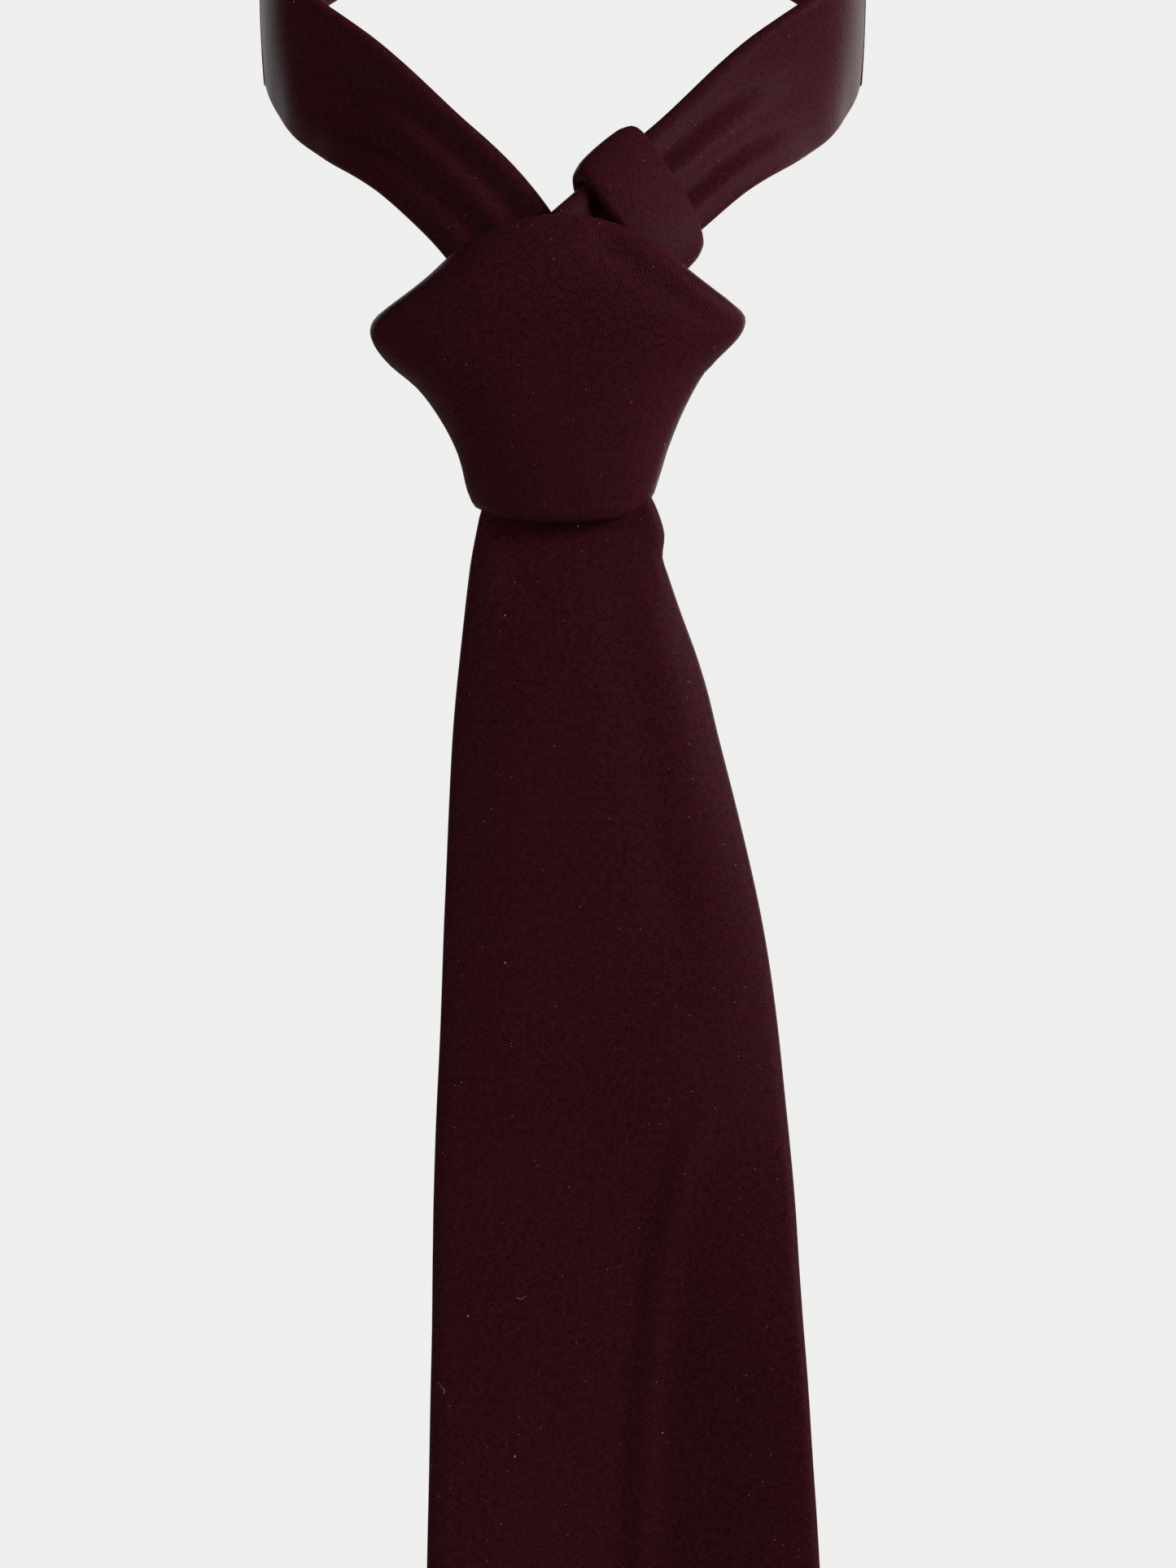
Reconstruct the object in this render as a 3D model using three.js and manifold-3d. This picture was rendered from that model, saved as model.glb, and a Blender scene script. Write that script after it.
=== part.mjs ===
// A long necktie tied in a half-Windsor knot, as it hangs from a closed collar. Sizes are in millimetres.
// +Z is up, the front faces -Y, and the origin is the centre of the neck loop.
// The strap is a folded envelope: shell cloth round an interlining, closed by one seam down its back.
import * as THREE from "three";
import { mergeVertices } from "three/addons/utils/BufferGeometryUtils.js";
import Module from "manifold-3d";

const wasm = await Module();
wasm.setup();

// ---- driving dimensions ----

const GAP = 0.3; // air between layers that touch in the cloth
const SHELL_WALL = 0.6; // shell cloth with its pressed turnings
const SEAM_SLIT = 0.5; // half the opening of the back seam
const EDGE_ROUND = 1.2; // folded edge of a flat blade
const THREAD_RADIUS = 0.25;
const STITCH_PITCH = 16;
const STITCH_SWAY = 0.8;

const KNOT_TOP = -50;
const KNOT_HEIGHT = 58.6;
const LIP = KNOT_TOP - KNOT_HEIGHT; // height of the lowest point of the knot's lower lip
const KNOT_SQUARENESS = 2.6; // exponent of the knot's rounded cross-section
const SHOULDER_DROP = 12; // how far the knot's top falls towards its sides
const LIP_RISE = 3.4; // how far the lower lip climbs towards its ends
const WRAP_WALL = 4.0; // one turn of strap round the knot
const SIDE_TURN_WALL = 3.5;
const WRAP_END = 2.13; // angle from the front, in radians, where the front wrap turns in
const BACK_BAND_START = 2.3; // angle from the front where the band across the back begins

// [height above the lip, distance] of the knot's left, right, front and back surfaces
const knotLeft = smooth([[0, 16.5], [6, 18.2], [19, 22.8], [31, 32], [44, 36.5], [58.6, 32]]);
const knotRight = smooth([[0, 17], [5, 18], [21, 23.3], [38, 33], [48, 36], [58.6, 31]]);
const knotFront = smooth([[0, -76.6], [12, -78.6], [32, -80], [48, -79.4], [58.6, -76]]);
const knotBack = smooth([[0, -57.6], [15, -55.2], [35, -54], [58.6, -55]]);

const LOOP_TILT = THREE.MathUtils.degToRad(30); // the back of the loop sits higher than its front
const LOOP_HALF_WIDTH = 60;
const LOOP_HALF_DEPTH = 64;
const NECK_THICKNESS = 3.2;
const NECK_LINING = 0.9;
const NECK_WIDTH = 33; // at the nape
const KNOT_ENTRY_WIDTH = 22; // the strap gathered where it enters the knot
const NECK_PANEL_LENGTH = 210; // between the two joining seams
const SEAM_WIDTH = 0.8;
const LEG_TURN_LENGTH = 42; // the lowest stretch of each leg, which follows the knot
// the right-hand leg of the loop, from beside the neck to the middle of the knot
const LEG_ROUTE = [[42, -38, -24], [28, -52, -36], [16, -61, -48], [9, -65, -58], [5, -65.5, -68]];

const HINGE_DROP = 3; // the front blade bends this far under the lip
const BLADE_FRONT = -71; // y of the front blade's face
const TAIL_FRONT = -65.6;
const TAIL_THICKNESS = 3.4;
const TAIL_LEAN = 0.0365; // sideways drift of the tail for each millimetre down
const TAIL_TOP_X = 2;
const TAIL_FEED = 105; // stretch of tail under the knot that runs up through it

// Depths count down from the lip. The blade widens towards its two corners and ends in a point.
const BLADE = {
  left: smooth([[0, -16.2], [34, -20.6], [90, -23.5], [205, -26.3], [371, -28.6]]),
  right: smooth([[0, 18.4], [10, 20.6], [42, 30.5], [105, 43], [205, 50.3], [371, 60.4]]),
  top: HINGE_DROP + 0.4,
  seamEnd: 300,
  corner: 371,
  tip: 415,
  tipX: 17,
  flapEdge: 7,
  front: BLADE_FRONT,
  thickness: 4,
  lining: 1.4,
  tipping: 0.5,
  tackLength: 8,
};
const tailMiddle = (depth) => TAIL_TOP_X + TAIL_LEAN * depth;
const TAIL = {
  left: (depth) => tailMiddle(depth) - 14.2 - 0.0185 * depth,
  right: (depth) => tailMiddle(depth) + 14.2 + 0.0185 * depth,
  top: TAIL_FEED,
  seamEnd: 255,
  corner: 295,
  tip: 315,
  tipX: tailMiddle(315),
  flapEdge: 4,
  front: TAIL_FRONT,
  thickness: TAIL_THICKNESS,
  lining: 0.9,
  tipping: 0.4,
  tackLength: 6,
};

const KEEPER_DEPTH = 205; // middle of the keeper loop below the lip
const KEEPER_HEIGHT = 14;
const KEEPER_HALF_WIDTH = 22.5; // inside
const KEEPER_FLANGE = 9; // length of each sewn-down end
const KEEPER_CLOTH = 0.7;
const LABEL_SIZE = [26, 15, 0.4];
const LABEL_DEPTH = 336;

const EDGE_STEPS = 14;
const LOOP_STEP = 5.5;
const WRAP_STEPS = 18;

// ---- materials ----

const cloth = { color: 0x2a0e13, roughness: 0.62, metalness: 0 };
const liningCloth = { color: 0x24090f, roughness: 0.5, metalness: 0 };
const wool = { color: 0xd9d2c2, roughness: 0.95, metalness: 0 };
const thread = { color: 0x33101a, roughness: 0.7, metalness: 0 };
const tape = { color: 0x1c0a0e, roughness: 0.6, metalness: 0 };

const necktie = new THREE.Group();

function add(name, geometry, look) {
  const mesh = new THREE.Mesh(geometry, new THREE.MeshStandardMaterial(look));
  mesh.name = name;
  necktie.add(mesh);
}

// ---- small helpers ----

// A function through [input, value] pairs, with a slope at each pair taken from its neighbours.
function smooth(pairs) {
  const slope = pairs.map((pair, i) => {
    const before = pairs[Math.max(i - 1, 0)];
    const after = pairs[Math.min(i + 1, pairs.length - 1)];
    return (after[1] - before[1]) / (after[0] - before[0]);
  });
  return (input) => {
    let i = 0;
    while (i < pairs.length - 2 && input > pairs[i + 1][0]) i++;
    const span = pairs[i + 1][0] - pairs[i][0];
    const t = (input - pairs[i][0]) / span;
    if (t < 0) return pairs[i][1] + slope[i] * (input - pairs[i][0]);
    if (t > 1) return pairs[i + 1][1] + slope[i + 1] * (input - pairs[i + 1][0]);
    const rise = pairs[i + 1][1] - pairs[i][1];
    const ease = t * t * (3 - 2 * t);
    return pairs[i][1] + rise * ease + span * t * (1 - t) * ((1 - t) * slope[i] - t * slope[i + 1]);
  };
}

function toSolid(geometry) {
  const bare = new THREE.BufferGeometry();
  bare.setAttribute("position", geometry.getAttribute("position"));
  bare.setIndex(geometry.index);
  const merged = mergeVertices(bare, 1e-3);
  const vertProperties = merged.attributes.position.array;
  return new wasm.Manifold(
    new wasm.Mesh({ numProp: 3, vertProperties, triVerts: new Uint32Array(merged.index.array) }),
  );
}

function toGeometry(solid) {
  const mesh = solid.getMesh();
  const geometry = new THREE.BufferGeometry();
  geometry.setAttribute("position", new THREE.BufferAttribute(mesh.vertProperties, 3));
  geometry.setIndex(new THREE.BufferAttribute(mesh.triVerts, 1));
  geometry.computeVertexNormals();
  return geometry;
}

function cut(geometry, ...tools) {
  const solid = tools.reduce((rest, tool) => rest.subtract(toSolid(tool)), toSolid(geometry));
  return toGeometry(solid);
}

// Joins rings of points into one closed body. The faces, by ring index, close its two ends.
function loft(rings, faces) {
  const count = rings[0].length;
  const index = [];
  for (let ring = 0; ring + 1 < rings.length; ring++) {
    for (let i = 0; i < count; i++) {
      const here = ring * count + i;
      const beside = ring * count + ((i + 1) % count);
      index.push(here, beside, beside + count, here, beside + count, here + count);
    }
  }
  const last = (rings.length - 1) * count;
  for (const [a, b, c] of faces) {
    index.push(c, b, a, last + a, last + b, last + c);
  }
  const geometry = new THREE.BufferGeometry().setFromPoints(rings.flat());
  geometry.setIndex(index);
  geometry.computeVertexNormals();
  return geometry;
}

const capOf = (outline) => THREE.ShapeUtils.triangulateShape(outline, []);

// Carries a strap section along stations. u runs across the strap and v out of its face.
function sweep(stations, sectionOf) {
  const rings = stations.map((station) =>
    sectionOf(station.width).map((p) =>
      station.at.clone().addScaledVector(station.across, p.x).addScaledVector(station.face, p.y),
    ),
  );
  return loft(rings, capOf(sectionOf(stations[0].width)));
}

// Half a circle at one edge of a strap section, from the back face round to the front face.
function roundEdge(u, radius, direction) {
  return [0, 1, 2, 3, 4].map((i) => {
    const angle = (i / 4 - 0.5) * Math.PI * direction;
    return new THREE.Vector2(u + direction * radius * Math.cos(angle), radius * Math.sin(angle));
  });
}

// A strap section with round edges. Two points across each face let the strap twist.
function solidSection(width, thickness) {
  const radius = thickness / 2;
  const u = width / 2 - radius;
  const face = (v, direction) =>
    [1, -1].map((step) => new THREE.Vector2((step * direction * u) / 3, v));
  return [
    ...roundEdge(u, radius, 1),
    ...face(radius, 1),
    ...roundEdge(-u, radius, -1),
    ...face(-radius, -1),
  ];
}

// The folded envelope: a thin wall all round, open along the middle of the back face.
function foldedSection(width, thickness, clothWall = SHELL_WALL) {
  const wall = (drawIn) => {
    const points = solidSection(width - 2 * drawIn, thickness - 2 * drawIn);
    const slit = [1, -1].map((side) => new THREE.Vector2(side * SEAM_SLIT, drawIn - thickness / 2));
    // the last point of the section is on the back face, just beside the slit
    return [slit[0], points.at(-1), ...points.slice(0, -1), slit[1]];
  };
  return [...wall(0), ...wall(clothWall).reverse()];
}

// A flat panel from [x, depth] points, with its face at the given y.
function panel(points, face, thickness, edge = 0) {
  const shape = new THREE.Shape(points.map(([x, depth]) => new THREE.Vector2(x, LIP - depth)));
  const geometry = new THREE.ExtrudeGeometry(shape, {
    depth: thickness - 2 * edge,
    bevelEnabled: edge > 0,
    bevelThickness: edge,
    bevelSize: edge,
    bevelOffset: -edge,
    bevelSegments: 2,
  });
  geometry.rotateX(Math.PI / 2);
  geometry.translate(0, face + thickness - edge, 0);
  return geometry;
}

// A sewing thread through a list of points.
function stitchLine(points) {
  const square = new THREE.Shape(
    [0, 1, 2, 3].map((i) => {
      const angle = (i * Math.PI) / 2;
      return new THREE.Vector2(Math.cos(angle), Math.sin(angle)).multiplyScalar(THREAD_RADIUS);
    }),
  );
  const path = new THREE.CatmullRomCurve3(points);
  return new THREE.ExtrudeGeometry(square, {
    steps: points.length - 1,
    extrudePath: path,
    bevelEnabled: false,
  });
}

// A short bar of close stitches lying across a seam.
function tack(x, y, depth, length, radius) {
  const bar = new THREE.CapsuleGeometry(radius, length - 2 * radius, 3, 8);
  bar.rotateZ(Math.PI / 2);
  bar.translate(x, y, LIP - depth);
  return bar;
}

// ---- neck loop ----

const loopBack = new THREE.Vector3(0, Math.cos(LOOP_TILT), Math.sin(LOOP_TILT));

// A point of the loop beside or behind the neck; the angle is 0 at the front and pi at the nape.
function besideNeck(angle) {
  const point = loopBack.clone().multiplyScalar(-LOOP_HALF_DEPTH * Math.cos(angle));
  point.x = LOOP_HALF_WIDTH * Math.sin(angle);
  return point;
}

function loopPath() {
  const right = [];
  for (let degrees = 180; degrees >= 65; degrees -= 23) {
    right.push(besideNeck(THREE.MathUtils.degToRad(degrees)));
  }
  for (const [x, y, z] of LEG_ROUTE) right.push(new THREE.Vector3(x, y, z));
  const left = right.slice(1).map((p) => new THREE.Vector3(-p.x, p.y, p.z));
  return new THREE.CatmullRomCurve3([...left.reverse(), ...right], false, "centripetal");
}

const loop = loopPath();
const LOOP_LENGTH = loop.getLength();

// The strap at a distance along the loop from the nape; the tail's leg is on the positive side.
function loopStation(distance) {
  const share = 0.5 + distance / LOOP_LENGTH;
  const at = loop.getPointAt(share);
  const tangent = loop.getTangentAt(share);
  const depth = at.dot(loopBack);
  const outward = loopBack.clone().multiplyScalar(depth / LOOP_HALF_DEPTH ** 2);
  outward.x += at.x / LOOP_HALF_WIDTH ** 2;
  outward.normalize();
  const turned = THREE.MathUtils.smoothstep(-depth, 20, 66);
  const face = outward.lerp(new THREE.Vector3(0, -1, 0), turned);
  face.addScaledVector(tangent, -face.dot(tangent)).normalize();
  const across = new THREE.Vector3().crossVectors(face, tangent);
  const width = THREE.MathUtils.lerp(NECK_WIDTH, KNOT_ENTRY_WIDTH, turned);
  return { at, across, face, width };
}

function loopStations(from, to) {
  const steps = Math.max(1, Math.round((to - from) / LOOP_STEP));
  return Array.from({ length: steps + 1 }, (_, i) => loopStation(from + ((to - from) * i) / steps));
}

function knotPoint(height, angle, inset) {
  const squared = (value) => Math.sign(value) * Math.abs(value) ** (2 / KNOT_SQUARENESS);
  const side = Math.sin(angle) < 0 ? knotLeft(height) : knotRight(height);
  const front = knotFront(height);
  const back = knotBack(height);
  const outwards = squared(Math.sin(angle));
  const forwards = squared(Math.cos(angle));
  const share = height / KNOT_HEIGHT;
  const drop = SHOULDER_DROP * THREE.MathUtils.smoothstep(share, 0.45, 1) * outwards ** 2;
  const rise = LIP_RISE * (1 - THREE.MathUtils.smoothstep(share, 0, 0.4)) * outwards ** 2;
  return new THREE.Vector3(
    outwards * (side - inset),
    (front + back) / 2 - forwards * ((back - front) / 2 - inset),
    LIP + height - drop + rise,
  );
}

// A band of the knot between two angles, two insets and two heights.
function knotBand({ angles, insets, heights, across = WRAP_STEPS, up = 9 }) {
  const at = (from, to, i, count) => from + ((to - from) * i) / count;
  const rings = Array.from({ length: up + 1 }, (_, ring) => {
    const height = at(heights[0], heights[1], ring, up);
    const along = (inset) =>
      Array.from({ length: across + 1 }, (__, i) =>
        knotPoint(height, at(angles[0], angles[1], i, across), inset),
      );
    return [...along(insets[0]), ...along(insets[1]).reverse()];
  });
  const last = 2 * across + 1;
  const faces = Array.from({ length: across }, (_, i) => [
    [i, i + 1, last - i - 1],
    [i, last - i - 1, last - i],
  ]);
  return loft(rings, faces.flat());
}

// The whole knot as one block, swollen a little, to cut its neighbours clear of it.
function knotBlock(swell) {
  const sides = 28;
  const layers = 9;
  const rings = Array.from({ length: layers + 1 }, (_, ring) => {
    const height = -swell + ((KNOT_HEIGHT + 2 * swell) * ring) / layers;
    return Array.from({ length: sides }, (__, i) =>
      knotPoint(height, (i * 2 * Math.PI) / sides, -swell),
    );
  });
  // each strip of an end runs straight from front to back, so that the end keeps its saddle
  const quarter = sides / 4;
  const faces = Array.from({ length: sides / 2 }, (_, k) => {
    const [a, b, c, d] = [quarter - k, quarter - k - 1, quarter + k + 1, quarter + k].map(
      (i) => (i + sides) % sides,
    );
    return [[a, c, b], [a, d, c]];
  });
  return loft(rings, faces.flat().filter((face) => new Set(face).size === 3));
}

function addNeckLoop() {
  const seam = NECK_PANEL_LENGTH / 2;
  const panelGap = SEAM_WIDTH / 2 + GAP;
  const legEnd = LOOP_LENGTH / 2 - LEG_TURN_LENGTH;
  const folded = (width) => foldedSection(width, NECK_THICKNESS);
  const solid = (width) => solidSection(width, NECK_THICKNESS);
  const hugging = (width) => solidSection(width - 2 * (SHELL_WALL + GAP), NECK_LINING);
  const shell = (from, to) => sweep(loopStations(from, to), folded);
  add("neck_panel_shell", shell(-seam + panelGap, seam - panelGap), cloth);
  add("front_leg_shell", shell(-legEnd, -seam - panelGap), cloth);
  add("tail_leg_shell", shell(seam + panelGap, legEnd), cloth);
  add("neck_interlining", sweep(loopStations(-legEnd + 1, legEnd - 1), hugging), wool);
  for (const [name, side] of [["front_piecing_seam", -1], ["tail_piecing_seam", 1]]) {
    const middle = side * seam;
    const ends = [middle - SEAM_WIDTH / 2, middle + SEAM_WIDTH / 2];
    add(name, sweep(ends.map(loopStation), folded), thread);
  }
  const knot = knotBlock(GAP + 0.1);
  const legTurn = (from, to) => cut(sweep(loopStations(from, to), solid), knot);
  add("front_leg_lower", legTurn(-LOOP_LENGTH / 2, -legEnd - 2 * GAP), cloth);
  add("tail_leg_lower", legTurn(legEnd + 2 * GAP, LOOP_LENGTH / 2), cloth);
  add("neck_slip_stitch", stitchLine(neckStitches(legEnd - 6)), thread);
}

function neckStitches(reach) {
  const count = Math.round((4 * reach) / STITCH_PITCH);
  const drop = NECK_THICKNESS / 2 + GAP + 2 * THREAD_RADIUS;
  return Array.from({ length: 2 * count + 1 }, (_, i) => {
    const station = loopStation(((i - count) * reach) / count);
    const sway = STITCH_SWAY * Math.sin((i * Math.PI) / 2);
    return station.at.addScaledVector(station.face, -drop).addScaledVector(station.across, sway);
  });
}

// ---- knot ----

// Stations of a strap inside the knot, from [x, y, z] points, with its face turned by a rule.
function knotStations(points, width, steps, faceAt) {
  const path = new THREE.CatmullRomCurve3(points.map((p) => new THREE.Vector3(...p)));
  return Array.from({ length: steps + 1 }, (_, i) => {
    const at = path.getPointAt(i / steps);
    const tangent = path.getTangentAt(i / steps);
    const face = faceAt(tangent);
    face.addScaledVector(tangent, -face.dot(tangent)).normalize();
    return { at, face, across: new THREE.Vector3().crossVectors(face, tangent), width };
  });
}

const facingForward = () => new THREE.Vector3(0, -1, 0);
const strapOf = (thickness) => (width) => solidSection(width, thickness);

function addKnot() {
  const whole = [1, KNOT_HEIGHT];
  const wrapAngles = [-WRAP_END, WRAP_END];
  const wrap = knotBand({ angles: wrapAngles, insets: [0, WRAP_WALL], heights: whole });
  const pocket = knotBand({
    angles: wrapAngles.map((angle) => (angle * (WRAP_STEPS + 2)) / WRAP_STEPS),
    insets: [SHELL_WALL, WRAP_WALL - SHELL_WALL],
    heights: [2.2, KNOT_HEIGHT - 1.2],
    across: WRAP_STEPS + 2,
  });
  add("knot_front_wrap", cut(wrap, pocket), cloth);
  const lining = knotBand({
    angles: wrapAngles,
    insets: [SHELL_WALL + 2 * GAP, WRAP_WALL - SHELL_WALL - 2 * GAP],
    heights: [3, KNOT_HEIGHT - 2],
  });
  add("knot_wrap_interlining", lining, wool);
  const backBand = knotBand({
    angles: [BACK_BAND_START, 2 * Math.PI - BACK_BAND_START],
    insets: [0, WRAP_WALL],
    heights: [1.5, 41],
    across: 10,
    up: 5,
  });
  add("knot_back_band", backBand, cloth);

  // up behind the knot, over its top between the two legs, and down behind the front wrap
  const overTop = [
    [0, -56.7, LIP + 42.2],
    [0, -56.9, KNOT_TOP - 11],
    [0, -64.3, KNOT_TOP - 2.8],
    [0, -71.4, KNOT_TOP - 11],
    [0, -72.6, LIP + 30],
    [0.5, -71.2, LIP + 12],
    [1, -69, LIP + 1.4],
  ];
  // the strap's face is on the outside of the turn over the top
  const outOfTurn = (tangent) => new THREE.Vector3(0, tangent.z, -tangent.y);
  const pass = sweep(knotStations(overTop, 21, 22, outOfTurn), strapOf(3.6));
  add("knot_center_pass", pass, cloth);

  const tailCore = [
    [7, -64.4, KNOT_TOP - 13],
    [4.6, -62.6, LIP + 30],
    [2.6, -63.2, LIP + 14],
    [2, -63.9, LIP + 1.2],
  ];
  add("knot_tail_core", sweep(knotStations(tailCore, 16, 10, facingForward), strapOf(3)), cloth);

  const firstCross = [
    [-8, -67.2, KNOT_TOP - 18],
    [2, -67.2, LIP + 31],
    [11, -67, LIP + 24],
  ];
  const cross = sweep(knotStations(firstCross, 18, 8, facingForward), strapOf(2.6));
  add("knot_first_cross", cross, cloth);
  addSideTurn();
}

// The turn of strap that hugs the tail's leg at the knot's shoulder, open underneath.
function addSideTurn() {
  const start = LOOP_LENGTH / 2 - 32;
  const stations = loopStations(start, start + 17);
  const room = NECK_THICKNESS + 1;
  const sleeve = (width) =>
    foldedSection(width + 1 + 2 * SIDE_TURN_WALL, room + 2 * SIDE_TURN_WALL, SIDE_TURN_WALL);
  add("knot_side_turn", cut(sweep(stations, sleeve), knotBlock(GAP + 0.1)), cloth);
}

// ---- front blade and tail ----

// The outline of a pointed blade, drawn in from its edges, starting at a depth under the lip.
function bladeOutline(blade, inset, top) {
  const { left, right, corner, tip, tipX } = blade;
  const side = (edge, sign) => {
    const slope = (tip - corner) / Math.abs(tipX - edge(corner));
    const end = corner + inset * (slope - Math.hypot(1, slope));
    return Array.from({ length: EDGE_STEPS + 1 }, (_, i) => {
      const depth = top + ((end - top) * i) / EDGE_STEPS;
      return [edge(depth) + sign * inset, depth];
    });
  };
  const point = [tipX, tip - inset * Math.SQRT2];
  return [...side(left, 1), point, ...side(right, -1).reverse()];
}

const seamX = (blade, depth) => (blade.left(depth) + blade.right(depth)) / 2;

// The cut through the back wall: a narrow seam that opens into a V over the tipping.
function backOpening(blade) {
  const { left, right, top, seamEnd, corner, tip, tipX, flapEdge } = blade;
  const seam = (side) =>
    [0, 1, 2, 3, 4].map((i) => {
      const depth = top - 2 + ((seamEnd - top + 2) * i) / 4;
      return [seamX(blade, depth) + side * SEAM_SLIT, depth];
    });
  const flapEnd = corner - flapEdge;
  return [
    ...seam(-1),
    [left(flapEnd) + flapEdge, flapEnd],
    [tipX, tip - flapEdge * Math.SQRT2],
    [right(flapEnd) - flapEdge, flapEnd],
    ...seam(1).reverse(),
  ];
}

function addBlade(name, blade) {
  const { front, thickness, lining, tipping, top, seamEnd } = blade;
  const pocketInset = SHELL_WALL + 0.8;
  const back = front + thickness;
  const outer = panel(bladeOutline(blade, 0, top), front, thickness, EDGE_ROUND);
  const pocketDepth = thickness - 2 * SHELL_WALL;
  const pocketShape = bladeOutline(blade, pocketInset, top - 2);
  const pocket = panel(pocketShape, front + SHELL_WALL, pocketDepth);
  const opening = panel(backOpening(blade), back - SHELL_WALL - 0.1, 2 * SHELL_WALL);
  add(`${name}_shell`, cut(outer, pocket, opening), cloth);

  const inside = pocketInset + GAP;
  const liningFace = front + SHELL_WALL + GAP;
  add(`${name}_interlining`, panel(bladeOutline(blade, inside + 0.3, top + 1), liningFace, lining), wool);
  const tippingFace = back - SHELL_WALL - GAP - tipping;
  const tippingShape = bladeOutline(blade, inside, seamEnd - 14);
  add(`${name}_tipping`, panel(tippingShape, tippingFace, tipping), liningCloth);

  const threadY = back + GAP + THREAD_RADIUS;
  const reach = seamEnd - 8 - (top + 6);
  const count = Math.round((4 * reach) / STITCH_PITCH);
  const stitches = Array.from({ length: count + 1 }, (_, i) => {
    const depth = top + 6 + (reach * i) / count;
    const sway = STITCH_SWAY * Math.sin((i * Math.PI) / 2);
    return new THREE.Vector3(seamX(blade, depth) + sway, threadY, LIP - depth);
  });
  add(`${name}_slip_stitch`, stitchLine(stitches), thread);
  const tackDepth = seamEnd - 3;
  const bar = tack(seamX(blade, tackDepth), back + 0.65, tackDepth, blade.tackLength, 0.35);
  add(`${name}_bar_tack`, bar, thread);
}

// The stretch of tail just under the knot, which feeds through it as the knot is moved.
function addTailFeed() {
  const depths = [1, TAIL_FEED - 2 * GAP];
  const points = [
    ...depths.map((depth) => [TAIL.left(depth), depth]),
    ...depths.reverse().map((depth) => [TAIL.right(depth), depth]),
  ];
  add("tail_upper", panel(points, TAIL_FRONT, TAIL_THICKNESS, EDGE_ROUND), cloth);
}

// A strip of the shell cloth sewn across the back of the front blade, which holds the tail.
function addKeeper() {
  const seat = BLADE_FRONT + BLADE.thickness + GAP; // y of the sewn-down ends
  const crown = TAIL_FRONT + TAIL_THICKNESS + 1.3; // y of the inside of the loop
  const inner = KEEPER_HALF_WIDTH;
  const outer = inner + KEEPER_CLOTH;
  const end = inner + KEEPER_FLANGE;
  const half = [
    [end, seat],
    [end, seat + KEEPER_CLOTH],
    [outer, seat + KEEPER_CLOTH],
    [outer, crown + KEEPER_CLOTH - 1],
    [outer - 1, crown + KEEPER_CLOTH],
  ];
  const innerHalf = [
    [inner - 1, crown],
    [inner, crown - 1],
    [inner, seat],
  ];
  const mirrored = (points) => points.map(([x, y]) => [-x, y]).reverse();
  const outline = [...half, ...mirrored(half), ...mirrored(innerHalf), ...innerHalf];
  const shape = new THREE.Shape(outline.map(([x, y]) => new THREE.Vector2(x, y)));
  const strip = new THREE.ExtrudeGeometry(shape, { depth: KEEPER_HEIGHT, bevelEnabled: false });
  const middle = tailMiddle(KEEPER_DEPTH);
  strip.translate(middle, 0, LIP - KEEPER_DEPTH - KEEPER_HEIGHT / 2);
  add("keeper_loop", strip, cloth);
  const tackY = seat + KEEPER_CLOTH + 0.65;
  for (const [name, side] of [["keeper_tack_left", -1], ["keeper_tack_right", 1]]) {
    const x = middle + side * (inner + KEEPER_FLANGE * 0.6);
    add(name, tack(x, tackY, KEEPER_DEPTH, 5, 0.35), thread);
  }
}

function addLabel() {
  const [width, height, thickness] = LABEL_SIZE;
  const middle = seamX(BLADE, LABEL_DEPTH);
  const points = [
    [middle - width / 2, LABEL_DEPTH - height / 2],
    [middle + width / 2, LABEL_DEPTH - height / 2],
    [middle + width / 2, LABEL_DEPTH + height / 2],
    [middle - width / 2, LABEL_DEPTH + height / 2],
  ];
  const seat = BLADE_FRONT + BLADE.thickness - SHELL_WALL;
  add("care_label", panel(points, seat, thickness), tape);
}

addNeckLoop();
addKnot();
addBlade("blade", BLADE);
addKeeper();
addLabel();
addTailFeed();
addBlade("tail", TAIL);

export default necktie;
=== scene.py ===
"""A long burgundy necktie tied in a half-Windsor knot, dressed in cloth around its CAD frame.

Lengths in this file are millimetres until MM turns them into metres.
"""

import math

import bmesh
import bpy
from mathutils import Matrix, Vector, noise


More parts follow.
